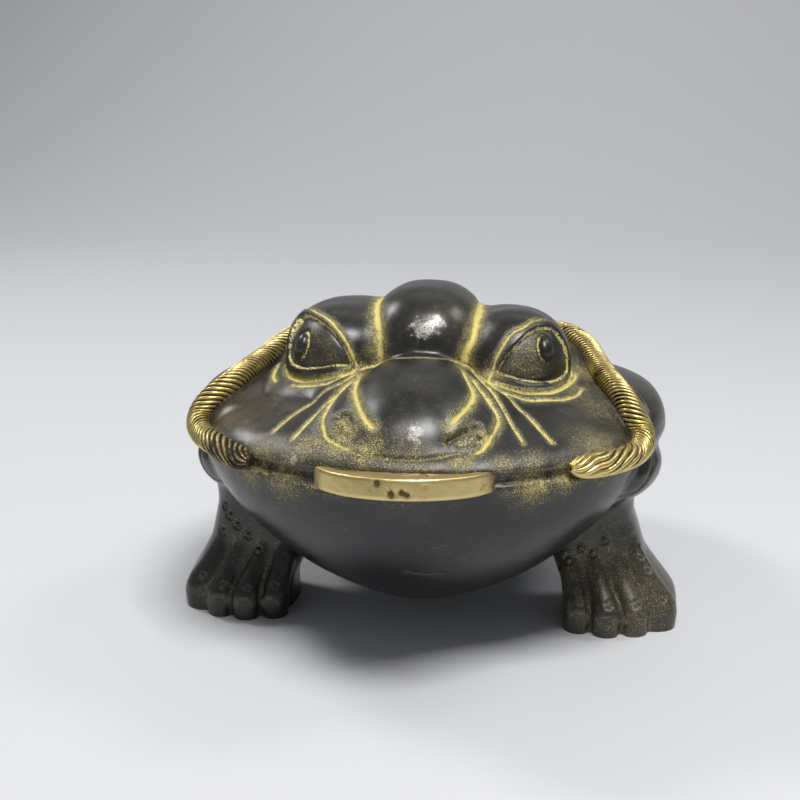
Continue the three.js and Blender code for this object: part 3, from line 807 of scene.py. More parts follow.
def smoothstep(low, high, value):
    share = np.clip((value - low) / (high - low), 0, 1)
    return share * share * (3 - 2 * share)


def bell(distance, width):
    return np.exp(-(distance / width) ** 2)


def note(name, amount, where=slice(None)):
    """Marks how much of a finish the skin holds, where it is more than was marked before."""
    finish[name][where] = np.maximum(finish[name][where], amount)


END_SHARE, END_LEAST = 0.08, 0.15
GOLD_SPREAD, DUST_SPREAD = 1.15, 3

for route, width, depth, gilt, tapering in carved:
    distance, share = reach_to(base, route, 2 * DUST_SPREAD * width)
    tapered = np.sqrt(np.clip(np.minimum(share, 1 - share) / END_SHARE, END_LEAST, 1)) if tapering else 1
    lift -= depth * bell(distance, width) * tapered
    note("gold", gilt * bell(distance, GOLD_SPREAD * width) * np.clip(tapered, 0.5, 1))
    note("dust", gilt * bell(distance, DUST_SPREAD * width))
print("deepest stroke", round(-lift.min() / MM, 2), "mm")

# %% [markdown]
# Each eye has its own plane, seen the way the eye looks. A point is inside a closed line when it is inside
# the line's outline in that plane, which a count of crossed sides tells. Its distance to the line is then
# given a minus sign.

# %% Inside or outside an eye's line
LOOK = np.array(Vector((0.36, -0.9, 0.25)).normalized())


def eye_axes(side):
    """The eye's own right and up, as the columns of a matrix."""
    right = np.cross(LOOK * side, (0, 0, 1))
    right /= np.linalg.norm(right)
    return np.stack([right, np.cross(right, LOOK * side)], 1)


def inside_loop(at, loop):
    """Whether points in a plane lie inside a closed outline, by counting the sides they cross."""
    x, y = at.T
    odd = np.zeros(len(at), bool)
    for (ax, ay), (bx, by) in zip(loop, np.roll(loop, -1, 0)):
        crossed = (ay > y) != (by > y)
        odd ^= crossed & (x < (bx - ax) * (y - ay) / (by - ay if by != ay else 1) + ax)
    return odd


def signed_reach(points, loop, axes):
    distance = nearest_on_route(points, loop)[0]
    return np.where(inside_loop(points @ axes, loop @ axes), -distance, distance)


print("the left eye's right and up", eye_axes(SIDES[0]).T.round(2).tolist())

# %% [markdown]
# Inside its edge the white is set outright: each point goes to the ball's own surface, a little sunk, so
# that the lid stands over it with a clean step. The lids are raised on the brow as it is, highest near the
# white, and end in the fold. The pupil is an oval bead with a groove round it.

# %% Lids, whites and pupils
EYE_AROUND, EYE_BEHIND = 5 * MM, 2 * MM
UPPER_LID, LOWER_LID = 0.5 * MM, 0.35 * MM
LID_CHANGE = -3 * MM, 1 * MM
LID_STEP, LID_END = 0.45 * MM, (0.15 * MM, -0.8 * MM)
FOLD_DEPTH, FOLD_WIDTH = 0.35 * MM, 0.36 * MM
WHITE_SUNK, WHITE_EDGE = 0.35 * MM, (0.12 * MM, -0.22 * MM)
PUPIL_SIZE, PUPIL_HEIGHT = (1.6 * MM, 2.5 * MM), 1.2 * MM
PUPIL_GROOVE, PUPIL_GROOVE_AT, PUPIL_GROOVE_WIDTH = 0.3 * MM, 1.22, 0.16
EDGE_GROOVE, EDGE_GROOVE_AT, EDGE_GROOVE_WIDTH = 0.15 * MM, -0.2 * MM, 0.3 * MM

eyes_set, eyes_seen = [], []
for side, edge, fold, pupil in EYES:
    axes = eye_axes(side)
    offset = base - EYE * side
    far = lengths(offset)
    near = np.flatnonzero((far < EYE_RADIUS + EYE_AROUND) & (offset @ (LOOK * side) > -EYE_BEHIND))
    from_edge, from_fold = (signed_reach(base[near], loop, axes) for loop in (edge, fold))
    level = offset[near] @ axes[:, 1]
    lid = LOWER_LID + (UPPER_LID - LOWER_LID) * smoothstep(*LID_CHANGE, level)
    band = lid * smoothstep(0, LID_STEP, from_edge) * smoothstep(*LID_END, from_fold)
    lift[near] += band - FOLD_DEPTH * bell(from_fold, FOLD_WIDTH)

    way = offset[near] / far[near, None]
    from_pupil = EYE * side + EYE_RADIUS * way - laid_on(pupil[None], 6)
    nasal = from_pupil @ axes[:, 0] * side[0]
    oval = np.hypot(nasal / PUPIL_SIZE[0], from_pupil @ axes[:, 1] / PUPIL_SIZE[1])
    radius = EYE_RADIUS - WHITE_SUNK + PUPIL_HEIGHT * np.sqrt(np.clip(1 - oval ** 2, 0, 1))
    radius -= (PUPIL_GROOVE * bell(oval - PUPIL_GROOVE_AT, PUPIL_GROOVE_WIDTH)
               + EDGE_GROOVE * bell(from_edge - EDGE_GROOVE_AT, EDGE_GROOVE_WIDTH))
    inside = smoothstep(*WHITE_EDGE, from_edge)
    eyes_set.append((near, inside, EYE * side + radius[:, None] * way))
    eyes_seen.append((side[0], near, inside, from_edge, from_fold, nasal, level, oval))
print("eyes", [len(near) for near, *_ in eyes_set], "points")

# %% [markdown]
# The gilding was wiped off the whites, most of all on the toad's right eye. Its powder stays on the half
# toward the nose, and a bright thread lies beside the pupil and in both cut lines.

# %% Gilding of the eyes
STIPPLE, STIPPLE_MORE_LEFT = 0.42, 0.12
THREAD, THREAD_AT, THREAD_WIDTH = 0.75, 1.15, 0.16
EDGE_GOLD, EDGE_GOLD_WIDTH, FOLD_GOLD_WIDTH = 0.8, 0.24 * MM, 0.32 * MM
FOLD_DUST, FOLD_DUST_WIDTH = 0.9, 1.1 * MM

for hand, near, inside, from_edge, from_fold, nasal, level, oval in eyes_seen:
    for values in finish.values():
        values[near] *= 1 - inside
    stipple = (STIPPLE + STIPPLE_MORE_LEFT * hand) * smoothstep(0, -1 * MM, from_edge)
    nasal_half = smoothstep(-4 * MM, 4 * MM, nasal + 0.3 * level)
    note("dust", stipple * smoothstep(0.95, 1.4, oval) * nasal_half, near)
    beside = smoothstep(-0.3, 0.4, nasal / PUPIL_SIZE[0])
    note("gold", THREAD * bell(oval - THREAD_AT, THREAD_WIDTH) * beside * inside, near)
    note("gold", EDGE_GOLD * bell(from_edge, EDGE_GOLD_WIDTH), near)
    note("gold", bell(from_fold, FOLD_GOLD_WIDTH), near)
    note("dust", FOLD_DUST * bell(from_fold, FOLD_DUST_WIDTH), near)
print("gilded", int((finish["gold"] > 0.5).sum()), "points so far")

# %% [markdown]
# ## Nostrils, rings and nails
#
# The left and right nostrils were finished by hand and don't match. The legs carry ring marks, made by a
# hollow punch: a sunk ring round a bead. Each front toe ends in a nail, cut as an arc on its blunt tip.

# %% Nostrils
NOSTRILS = [  # route in hundredths, half width and depth in millimetres, gilding
    ([(7.7, -45.1, 69.9), (9.5, -43.4, 71.1), (10.9, -42.2, 71.6), (12.4, -40.9, 72.1)], 0.5, 1.5, 0),
    ([(9.2, -45, 68.6), (11.4, -43.8, 69.4), (13.2, -43.4, 69.2), (14.4, -42.4, 70.6)], 0.35, 0.5, 0.75),
    ([(-12.9, -39.6, 72.8), (-11.9, -39.3, 73.6), (-10.4, -41.3, 72.9), (-9.9, -43.1, 71.1),
      (-10.9, -43.8, 69.7), (-12.4, -42.4, 70.6)], 0.45, 1.1, 0.3),
]
BEADS = [  # middle in hundredths, radius and height in millimetres
    ((13.2, -42.3, 70.4), 1.6, 0.9), ((-11.8, -41.5, 71.9), 1.3, 0.7), ((-15.4, -44, 66.9), 1.5, 0.4),
]


def dome(distance, radius):
    return np.sqrt(np.clip(1 - (distance / radius) ** 2, 0, 1))


for points, width, depth, gilt in NOSTRILS:
    width, depth = width * MM, depth * MM
    distance, _ = reach_to(base, laid_route(place(points)), 5 * width)
    lift -= depth * bell(distance, width)
    note("gold", gilt * bell(distance, 1.2 * width))
    note("dust", 0.6 * bell(distance - 2 * width, 1.5 * width))
for centre, radius, height in BEADS:
    distance = lengths(base - laid_on(place([centre]), 6))
    lift += height * MM * dome(distance, radius * MM)
    note("dust", bell(distance, radius * MM))
print(len(NOSTRILS), "nostril cuts,", len(BEADS), "beads")

# %% [markdown]
# The same two tools, a punch and a nail gouge, were used again and again, so each is a function of the
# place where it struck.

# %% Punch marks
RING_DEPTH, RING_WIDTH, RING_BEAD = 0.4 * MM, 0.26 * MM, 0.25 * MM
RING_DUST, RING_DUST_WIDTH = 0.45, 0.4 * MM
NAIL_RADIUS, NAIL_DEPTH, NAIL_WIDTH = 1.9 * MM, 0.3 * MM, 0.28 * MM
NAIL_HEIGHT, NAIL_DENT, NAIL_CUT_OFF = 3.1 * MM, 0.25 * MM, 0.6 * MM
NAIL_DUST, NAIL_DUST_WIDTH = 0.5, 0.45 * MM


def punch(centre, radius, gilt):
    distance = lengths(base - laid_on(centre[None], 6))
    lift[:] += RING_BEAD * bell(distance, 0.5 * radius) - RING_DEPTH * bell(distance - radius, RING_WIDTH)
    note("dust", gilt * bell(distance - radius, RING_DUST_WIDTH))


def nail(tip):
    """An arc over a shallow dent on the blunt tip of a toe."""
    distance = lengths(base - tip)
    over = smoothstep(-NAIL_CUT_OFF, NAIL_CUT_OFF, base[:, 2] - tip[2])
    lift[:] -= NAIL_DEPTH * bell(distance - NAIL_RADIUS, NAIL_WIDTH) * over
    lift[:] -= NAIL_DENT * bell(distance, 0.7 * NAIL_RADIUS)
    note("dust", NAIL_DUST * bell(distance - NAIL_RADIUS, NAIL_DUST_WIDTH) * over)


for ring in RINGS:
    punch(place(ring), RING_RADIUS, RING_DUST)
for route in front_toes:
    for side in SIDES:
        tip, knuckle = route[-1] * side, route[-6] * side
        front = np.array([tip[0], tip[1] - 2 * TOE_RADIUS, NAIL_HEIGHT])
        nail(laid_on(front[None], 8)[0])
        punch(knuckle + (0.9 * MM, -TOE_RADIUS, TOE_RADIUS), 0.8 * RING_RADIUS, NAIL_DUST)
print("punched", len(RINGS), "rings")

# %% [markdown]
# A furrow parts each front toe from the next. Eight warts stand on the hidden back, in keeping with such
# figures, each a dome in a shallow groove. The skin dips a little on both sides of the rope, as if it lay in
# a bed.

# %% Furrows, warts and the bed of the rope
FURROW_DEPTH, FURROW_WIDTH, FURROW_RUN_IN = 0.5 * MM, 0.8 * MM, 0.3
FURROW_DUST, FURROW_DUST_WIDTH = 0.45, 0.7 * MM
WARTS = [(10, 24), (10, 35), (24, 17), (24, 28)]
WART_RADIUS, WART_HEIGHT = 2.7 * MM, 1.7 * MM
WART_GROOVE, WART_GROOVE_WIDTH = 0.25 * MM, 0.5 * MM
BED_DEPTH, BED_AT, BED_WIDTH, BED_REACH = 0.35 * MM, 3 * MM, 0.6 * MM, 8 * MM
BED_RUN_IN = 0.04, 0.1

for one, other in zip(front_toes, front_toes[1:]):
    for side in SIDES:
        distance, share = reach_to(base, laid_on((one + other) / 2 * side, 6), 5 * FURROW_WIDTH)
        lift -= FURROW_DEPTH * bell(distance, FURROW_WIDTH) * np.sqrt(np.clip(share / FURROW_RUN_IN, 0, 1))
        note("dust", FURROW_DUST * bell(distance, FURROW_DUST_WIDTH))
for middle in resting(WARTS):
    for side in SIDES:
        distance = lengths(base - middle * side)
        lift += WART_HEIGHT * dome(distance, WART_RADIUS)
        lift -= WART_GROOVE * bell(distance - 1.15 * WART_RADIUS, WART_GROOVE_WIDTH)
to_rope, rope_share = reach_to(base, rope_route, BED_REACH)
on_flank = smoothstep(*BED_RUN_IN, np.minimum(rope_share, 1 - rope_share))
lift -= BED_DEPTH * bell(to_rope - BED_AT, BED_WIDTH) * on_flank
print("lifts from", round(lift.min() / MM, 2), "to", round(lift.max() / MM, 2), "mm")

# %% [markdown]
# ## Wear, and painted highlights
#
# Hands and cloths leave their marks by place, not by form: gilding crusts on the lips and in the corners,
# the forehead and nose are worn to pale metal, which also paints the highlights that fall there, and one
# cheek and foot have gone brown. Each mark is a soft round spot. A little powder lies on everything that
# faces up.

# %% Dust of gilding, worn places with painted highlights, and brown places
MARKS = {  # place in hundredths, radius in millimetres, amount
    "dust": [
        ((30.5, -12, 75), 5, 0.8), ((35, -17.5, 71), 6, 0.6), ((28, -20, 72), 5, 0.7),
        ((33, -24, 68), 8, 0.5),
        ((8.9, -20.2, 78.4), 3.5, 1), ((13, -24, 77.4), 3.5, 1), ((-12.5, -24, 78.5), 3, 0.9),
        ((-9, -20.5, 84), 3, 0.9), ((-9.5, -18.5, 90), 2.4, 0.7), ((9, -20, 86), 2.4, 0.8),
        ((22, -44.2, 64.2), 4, 0.6), ((17, -46.4, 63.8), 4, 0.6), ((-20, -46, 63), 4, 0.6),
        ((-26, -43, 62.6), 5, 0.7), ((-10.9, -42.8, 70.9), 5, 0.9), ((-11.6, -45, 67.6), 5, 0.85),
        ((-17, -44, 66), 5, 0.8), ((11.2, -42.9, 70.1), 4, 0.7), ((-6, -46.5, 66.8), 5, 0.85),
        ((2, -48, 65.6), 5, 0.6), ((9.9, -47.3, 65.5), 4, 0.7), ((33, -36, 64), 7, 0.7),
        ((-28.5, -42.1, 58.3), 4, 0.8), ((22, -45, 58.8), 4.5, 0.95), ((28, -43, 60), 4, 0.95),
        ((-22, -45.5, 58), 5, 0.75), ((0, -47, 63.6), 7, 0.6), ((33, -20, 20), 14, 0.35),
        ((42, -20, 8), 12, 0.45), ((-36, -20, 22), 8, 0.25),
    ],
    "gold": [
        ((12, -47, 62.9), 1.8, 0.8), ((14.6, -46.6, 63.2), 1.2, 0.8), ((-27, -43.5, 60.5), 2.4, 0.55),
        ((-22, -45.2, 61), 1.8, 0.5), ((-16, -46.2, 62.5), 2.2, 0.5), ((24, -44.5, 58.6), 2.6, 0.55),
        ((29, -42.5, 59.5), 2.4, 0.5), ((9.9, -47.3, 65.5), 2, 0.5), ((-6, -46.8, 66), 2.4, 0.55),
        ((9.5, -20.6, 78.4), 2.2, 0.65), ((-12.5, -24, 78.5), 1.8, 0.6),
    ],
    # worn pale metal, which also paints the highlights on the forehead and the nose
    "worn": [
        ((0.5, -21.1, 90.3), 3, 1), ((3, -20.5, 92), 2.2, 0.8), ((-8, -41.5, 76), 1.8, 0.8),
        ((8, -43, 74), 2.2, 0.9), ((2, -45.6, 71.5), 2, 0.8), ((-19, -46, 65), 2.6, 0.5),
    ],
    "brown": [
        ((5.8, -16.5, 93), 4.5, 1), ((6.9, -19.1, 88), 3, 0.7), ((4, -47, 65.6), 5, 0.6),
        ((41, -20, 10), 14, 0.5), ((30, -22, 5), 8, 0.6), ((-33, -30, 68), 16, 1),
        ((40, -14, 66), 12, 0.6), ((41, -14, 50), 12, 0.6),
    ],
}

UPWARD_DUST = 0.12
FACING_DOWN = 0.1, -0.5

for name, marks in MARKS.items():
    for centre, radius, amount in marks:
        note(name, amount * bell(lengths(base - place(centre)), radius * MM))
note("dust", UPWARD_DUST * (1 - smoothstep(*FACING_DOWN, outward[:, 2])))
print({name: round(float(values.mean()), 3) for name, values in finish.items()})

# %% [markdown]
# A real casting is never quite even. A slow ripple of a tenth of a millimetre gives the large dark faces
# the soft, wandering highlights of hand-finished bronze. Then all the strokes move the skin at once, their
# finishes are stored on its vertices, and it is cut off flat at the floor.

# %% Moving the skin
RIPPLE = 0.12 * MM
RIPPLE_LENGTH = 7 * MM
BELOW_FLOOR = 0.5 * MM
SAME = 0.01 * MM

ripple = np.array([noise.noise(Vector(point) / RIPPLE_LENGTH) for point in base])
moved = base + outward * (lift + RIPPLE * ripple)[:, None]
for near, inside, ball in eyes_set:
    moved[near] += inside[:, None] * (ball - moved[near])
moved[:, 2] = np.maximum(moved[:, 2], -BELOW_FLOOR)
set_places(skin.verts, moved)


def store(bm, name, values):
    """Keeps a value for each vertex, which a material reads as an attribute."""
    layer = bm.verts.layers.float.new(name)
    for vert, value in zip(bm.verts, values):
        vert[layer] = value


for name, values in finish.items():
    store(skin, name, values)

cut = bmesh.ops.bisect_plane(skin, geom=[*skin.verts, *skin.edges, *skin.faces], plane_co=(0, 0, 0),
                             plane_no=(0, 0, -1), clear_outer=True, dist=SAME)["geom_cut"]
bmesh.ops.holes_fill(skin, edges=of_kind(cut, bmesh.types.BMEdge))
bmesh.ops.triangulate(skin, faces=[face for face in skin.faces if len(face.verts) > 4])
print("carved skin", len(skin.faces), "faces")

# %% [markdown]
# ## The coin
#
# A cash coin is cast flat, with a raised rim round its edge and another round its square hole. Its section
# is the same all the way round but for one thing: it changes from a circle outside to a square inside. So
# the coin is lofted through rings that follow its section, each ring a circle or a square, and the last
# ring is joined to the first.

# %% The coin's section
COIN_TILT = 9
COIN_RIM_HEIGHT = 0.4 * MM
COIN_RIM_WIDTH = 2.6 * MM
COIN_HOLE = 8 * MM
COIN_HOLE_RIM = 1.5 * MM
COIN_SOFT = 0.35 * MM
COIN_SIDES = 320

coin_low, coin_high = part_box("coin")
coin_middle = (coin_low + coin_high) / 2
coin_radius = (coin_high.x - coin_low.x) / 2
coin_lean = math.radians(COIN_TILT)
rim_top = ((coin_high.z - coin_low.z) / 2 - coin_radius * math.sin(coin_lean)) / math.cos(coin_lean)
field_top = rim_top - COIN_RIM_HEIGHT


def coin_ring(reach, height, square):
    angle = np.linspace(0, 2 * math.pi, COIN_SIDES, endpoint=False)
    ring = np.stack([np.cos(angle), np.sin(angle)], 1)
    if square:
        ring /= np.abs(ring).max(1)[:, None]
    return np.column_stack([reach * ring, np.full(COIN_SIDES, height)])


def coin_section():
    """Rings of the upper half, from the edge's middle to the hole's middle."""
    edge, soft, hole = coin_radius, COIN_SOFT, COIN_HOLE / 2
    rim = edge - COIN_RIM_WIDTH
    wide = hole + COIN_HOLE_RIM
    round_rings = [
        *((edge, share * (rim_top - 2 * soft)) for share in (0, 0.2, 0.4, 0.6, 0.8, 1)),
        (edge - 0.2 * soft, rim_top - soft), (edge - 0.6 * soft, rim_top - 0.3 * soft),
        (edge - 1.5 * soft, rim_top), (rim + soft, rim_top), (rim + 0.3 * soft, rim_top - 0.2 * soft),
        (rim, field_top), (rim - soft, field_top), (0.5 * (rim + wide), field_top),
    ]
    square_rings = [
        (wide + soft, field_top), (wide, field_top), (wide - 0.5 * soft, rim_top - 0.2 * soft),
        (wide - soft, rim_top), (hole + soft, rim_top), (hole, rim_top - soft), (hole, 0),
    ]
    return [(*ring, False) for ring in round_rings] + [(*ring, True) for ring in square_rings]


print("coin", round(2 * coin_radius / MM, 1), "mm wide,", round(2 * rim_top / MM, 1), "mm thick")

# %% [markdown]
# The rings are joined by bridges, all the way round the section. Filing and handling then wear the coin:
# slow noise takes a little off everywhere, and a few casting pits are left in the front edge.

# %% Lofting and wearing the coin
PITS = [  # across, height and reach in millimetres from the coin's middle, share
    (-3.2, 1.2, 0.5, 0.8), (-0.6, -0.9, 0.7, 1), (1.4, -0.5, 0.6, 0.9), (2.4, -1, 0.5, 0.7),
    (-17, 0, 2, 0.35), (5.6, 0.8, 0.35, 0.6), (17.5, -0.4, 2.2, 0.3),
]
PIT_SHARE, EDGE_WEAR, FACE_WEAR = 0.02, 0.0035, 0.02
BROAD_WEAR, FINE_WEAR = 2.5 * MM, 0.8 * MM

upper_half = coin_section()
lower_half = [(reach, -height, square) for reach, height, square in upper_half[-2:0:-1]]
coin = bmesh.new()
loops = []
for reach, height, square in upper_half + lower_half:
    verts = bmesh.ops.create_circle(coin, segments=COIN_SIDES, radius=1)["verts"]
    set_places(verts, coin_ring(reach, height, square))
    loops.append(list({edge for vert in verts for edge in vert.link_edges}))
for one, other in zip(loops, loops[1:] + loops[:1]):
    bmesh.ops.bridge_loops(coin, edges=one + other)
bmesh.ops.recalc_face_normals(coin, faces=coin.faces)
worn_points, pitted = points_of(coin), np.zeros(len(coin.verts))
for i, point in enumerate(worn_points):
    wear = abs(noise.noise(Vector(point) / BROAD_WEAR) + 0.5 * noise.noise(Vector(point) / FINE_WEAR))
    point *= (1 - EDGE_WEAR * wear, 1 - EDGE_WEAR * wear, 1 - FACE_WEAR * wear)
for x, z, reach, depth in PITS:
    away = np.hypot(worn_points[:, 0] / MM - x, worn_points[:, 2] / MM - z)
    pitted += depth * bell(away, reach) * (worn_points[:, 1] < 0)
worn_points[:, :2] *= 1 - PIT_SHARE * pitted[:, None]
set_places(coin.verts, worn_points)
store(coin, "hollow", pitted)
bmesh.ops.rotate(coin, verts=coin.verts, cent=(0, 0, 0), matrix=Matrix.Rotation(-coin_lean, 3, "X"))
bmesh.ops.translate(coin, verts=coin.verts, vec=coin_middle)
print("coin", len(coin.faces), "faces")

# %% [markdown]
# ## The rope
#
# The rope is part of the casting, carved as nine thin strands laid round each other and then gilded. Nine
# separate tubes would run through one another, so the rope is one sheet of squares, rolled into a tube
# whose section has nine lobes that turn as it goes. The two sides of the rope are laid in opposite ways,
# and the turn slows toward the mouth, where the carver drew the strands out longer.

# %% How the strands turn
STRANDS = 9
LAY_LEFT, LAY_RIGHT, LAY_END = 9.5 * MM, 11.5 * MM, 22 * MM
LONG_LAY = 8 * MM, 20.8 * MM
LAY_CHANGE = 0.4, 0.6

rope_length = rope_along[-1]
from_end = np.minimum(rope_along, rope_length - rope_along)
near_end = 1 - smoothstep(*LONG_LAY, from_end)
lay = LAY_LEFT + (LAY_RIGHT - LAY_LEFT) * smoothstep(*LAY_CHANGE, rope_along / rope_length)
lay += (LAY_END - lay) * near_end
turned = np.cumsum(2 * math.pi / lay) * ROPE_STEP
middle_turn = turned[len(turned) // 2]
turned = np.where(rope_along < rope_length / 2, turned, 2 * middle_turn - turned)
print("the rope turns", round(middle_turn / math.pi, 1), "times in all")

# %% [markdown]
# Each ring of the tube needs an up and a beside that turn slowly along the route. Up is the way out of the
# casting there, made square to the route and evened out.

# %% Rolling the sheet
GROOVE, END_GROOVE = 0.65 * MM, 0.8 * MM
ROPE_SIDES = 72
UP_REACH = 7
END_TAPER, END_SHARE_LEFT = 4.5 * MM, 0.12
ROUNDNESS = 0.98
ROPE_SOIL = [  # share of the rope's length from the toad's left end, dirt beyond that of the grooves
    (0, -0.2), (0.08, -0.05), (0.15, 0.1), (0.5, 0), (0.85, 0), (0.93, 0.1), (0.97, 0.3), (1, 0.45),
]


def squared(ways, ahead):
    return ways - (ways * ahead).sum(1)[:, None] * ahead


ahead = np.gradient(rope_route, axis=0)
ahead /= lengths(ahead)[:, None]
up = squared(casting_field(rope_route)[1], ahead)
up = squared(averaged(up.T, UP_REACH).T, ahead)
up /= lengths(up)[:, None]
beside = np.cross(ahead, up)

rope = bmesh.new()
bmesh.ops.create_grid(rope, x_segments=len(rope_route) - 1, y_segments=ROPE_SIDES, size=1)
flat = points_of(rope)
step = np.rint((flat[:, 0] + 1) / 2 * (len(rope_route) - 1)).astype(int)
around = (flat[:, 1] + 1) * math.pi
angle = around - turned[step]
from_strand = (around * STRANDS / math.pi) % 2 - 1
hollow = 1 - np.sqrt(1 - ROUNDNESS * from_strand ** 2)
lobe = ROPE_DIAMETER / 2 - (GROOVE + (END_GROOVE - GROOVE) * near_end[step]) * hollow
ended = 1 - (1 - np.clip(from_end[step] / END_TAPER, 0, 1)) ** 2
reach = (lobe * np.sqrt(np.clip(ended, END_SHARE_LEFT, 1)))[:, None]
out = np.cos(angle)[:, None] * up[step] + np.sin(angle)[:, None] * beside[step]
set_places(rope.verts, rope_route[step] + reach * out)
store(rope, "hollow", np.interp(rope_along / rope_length, *zip(*ROPE_SOIL))[step] + hollow)
bmesh.ops.remove_doubles(rope, verts=rope.verts, dist=SAME)
bmesh.ops.holes_fill(rope, edges=[edge for edge in rope.edges if edge.is_boundary])
bmesh.ops.recalc_face_normals(rope, faces=rope.faces)
print("rope", len(rope.faces), "faces")

# %% [markdown]
# ## Finishes
#
# The bronze was patinated nearly black, gilded in its lines and rubbed back. The rope was gilded all over
# and its grooves are dirty. The coin is of yellow brass, cast and filed. All three are mixed from noise of
# a real grain size and from what the carving stored on the vertices.

# %% Colours and nodes
def linear(code):
    """A colour written as on a screen, as the amounts of light that the renderer works with."""
    shares = [int(code[i:i + 2], 16) / 255 for i in (1, 3, 5)]
    return tuple(s / 12.92 if s <= 0.04045 else ((s + 0.055) / 1.055) ** 2.4 for s in shares) + (1,)


def add_node(tree, kind, inputs=None, **settings):
    """Adds a node with its settings. An input is a value, or a node or output to link to."""
    made = tree.nodes.new(kind)
    for name, value in settings.items():
        setattr(made, name, value)
    for key, value in (inputs or {}).items():
        if isinstance(value, bpy.types.Node):
            value = next(socket for socket in value.outputs if socket.enabled)
        if isinstance(value, bpy.types.NodeSocket):
            tree.links.new(value, made.inputs[key])
        else:
            made.inputs[key].default_value = value
    return made


def grains(size):
    """The noise scale whose grains are about this many millimetres apart."""
    return 1 / (size * MM)


def new_material(name):
    material = bpy.data.materials.new(name)
    material.use_nodes = True
    tree = material.node_tree
    return material, tree, tree.nodes["Principled BSDF"]


MATHS, NOISE, RANGE, MIX = "ShaderNodeMath", "ShaderNodeTexNoise", "ShaderNodeMapRange", "ShaderNodeMix"
BRONZE_BLACK = "#14181d"
print("black bronze in linear light", [round(part, 4) for part in linear(BRONZE_BLACK)])

# %% [markdown]
# The bronze was pickled nearly black with sulphur and waxed, which gives it a glossy, slightly blue black.
# Gilding was rubbed into its lines and wiped off again. Wiping leaves leaf in the deepest lines, a powder of
# gold in the sand-cast grain beside them and a few specks everywhere. Handling has polished the forehead
# and the nose down to pale metal with dark pits, and the same pale colour paints highlights there. Real
# powder is finer than a tenth of a millimetre. Here its grains are 0.17 mm apart, as coarse as they need to
# be to show.

# %% Patinated bronze
def patinated_bronze():
    material, tree, shader = new_material("black patinated bronze, gilt lines")
    where = add_node(tree, "ShaderNodeTexCoord").outputs["Object"]
    gold, dust, worn, brown = (add_node(tree, "ShaderNodeAttribute", attribute_name=name).outputs["Fac"]
                               for name in ("gold", "dust", "worn", "brown"))
    # grain in millimetres, detail, roughness
    noises = [(0.3, 3, 0.7), (0.17, 1, 0.5), (2, 3, 0.6), (11, 3, 0.6)]
    grain, powder, patch, broad = (
        add_node(tree, RANGE, {"From Min": 0.28, "From Max": 0.72, "Value": add_node(
            tree, NOISE, {"Vector": where, "Scale": grains(size), "Detail": detail, "Roughness": rough})})
        for size, detail, rough in noises)

    # each sum starts from its first term, and the others are added by their weights
    sums = {}
    for name, first, *terms in (("ragged", gold, (grain, 0.9), (patch, 0.5)),
                                ("dusty", powder, (patch, 0.14), (dust, 0.62)),
                                ("polish_and_highlight", worn, (patch, 0.7)), ("tan", brown, (broad, 0.35))):
        sums[name] = first
        for what, weight in terms:
            sums[name] = add_node(tree, MATHS, {0: what, 1: weight, 2: sums[name]}, operation="MULTIPLY_ADD")
    leaf, specks, bright, pitted = (
        add_node(tree, RANGE, {"Value": value, "From Min": low, "From Max": high})
        for value, low, high in ((sums["ragged"], 1.24, 1.36), (sums["dusty"], 1.1, 1.22),
                                 (sums["polish_and_highlight"], 0.75, 1.05), (grain, 0.32, 0.5)))
    bright, tan, film = (add_node(tree, MATHS, {0: one, 1: other}, operation="MULTIPLY")
                         for one, other in ((bright, pitted), (sums["tan"], patch), (dust, 0.16)))

    # the pale grey layer is worn metal and a painted highlight on the forehead and the nose
    layers = [(tan, "#51463a"), (film, "#b3a672"), (bright, "#c4c0b4"), (specks, "#cdbd7c"),
              (leaf, "#e6d685")]
    colour = linear(BRONZE_BLACK)
    for share, code in layers:
        colour = add_node(tree, MIX, {0: share, 6: colour, 7: linear(code)}, data_type="RGBA")
    covered = add_node(tree, MATHS, {0: specks, 1: leaf}, operation="MAXIMUM")
    metal = add_node(tree, RANGE, {"Value": covered, "To Min": 0.15, "To Max": 0.25})
    shader.inputs["Specular IOR Level"].default_value = 0.7
    matt = add_node(tree, MATHS, {0: dust, 1: 0.3, 2: 0.25}, operation="MULTIPLY_ADD")
    rough = add_node(tree, MIX, {0: covered, 2: matt, 3: 0.6})
    height = add_node(tree, MATHS, {0: leaf, 1: 0.8, 2: grain}, operation="MULTIPLY_ADD")
    relief = add_node(tree, MATHS, {0: dust, 1: 0.9, 2: 0.15}, operation="MULTIPLY_ADD")
    bump = add_node(tree, "ShaderNodeBump", {"Strength": relief, "Distance": 0.06 * MM, "Height": height})
    for socket, node in (("Base Color", colour), ("Metallic", metal), ("Roughness", rough), ("Normal", bump)):
        tree.links.new(next(out for out in node.outputs if out.enabled), shader.inputs[socket])
    return material


# %% [markdown]
# The rope was gilded all over, so gold lies on every crest and old wax and dirt sit in the grooves. The
# coin is a brass casting that was filed along its edge: the cast skin is left as dark pits and stains.
# Both are bright metal that turns dull where it is soiled, so one function makes them.

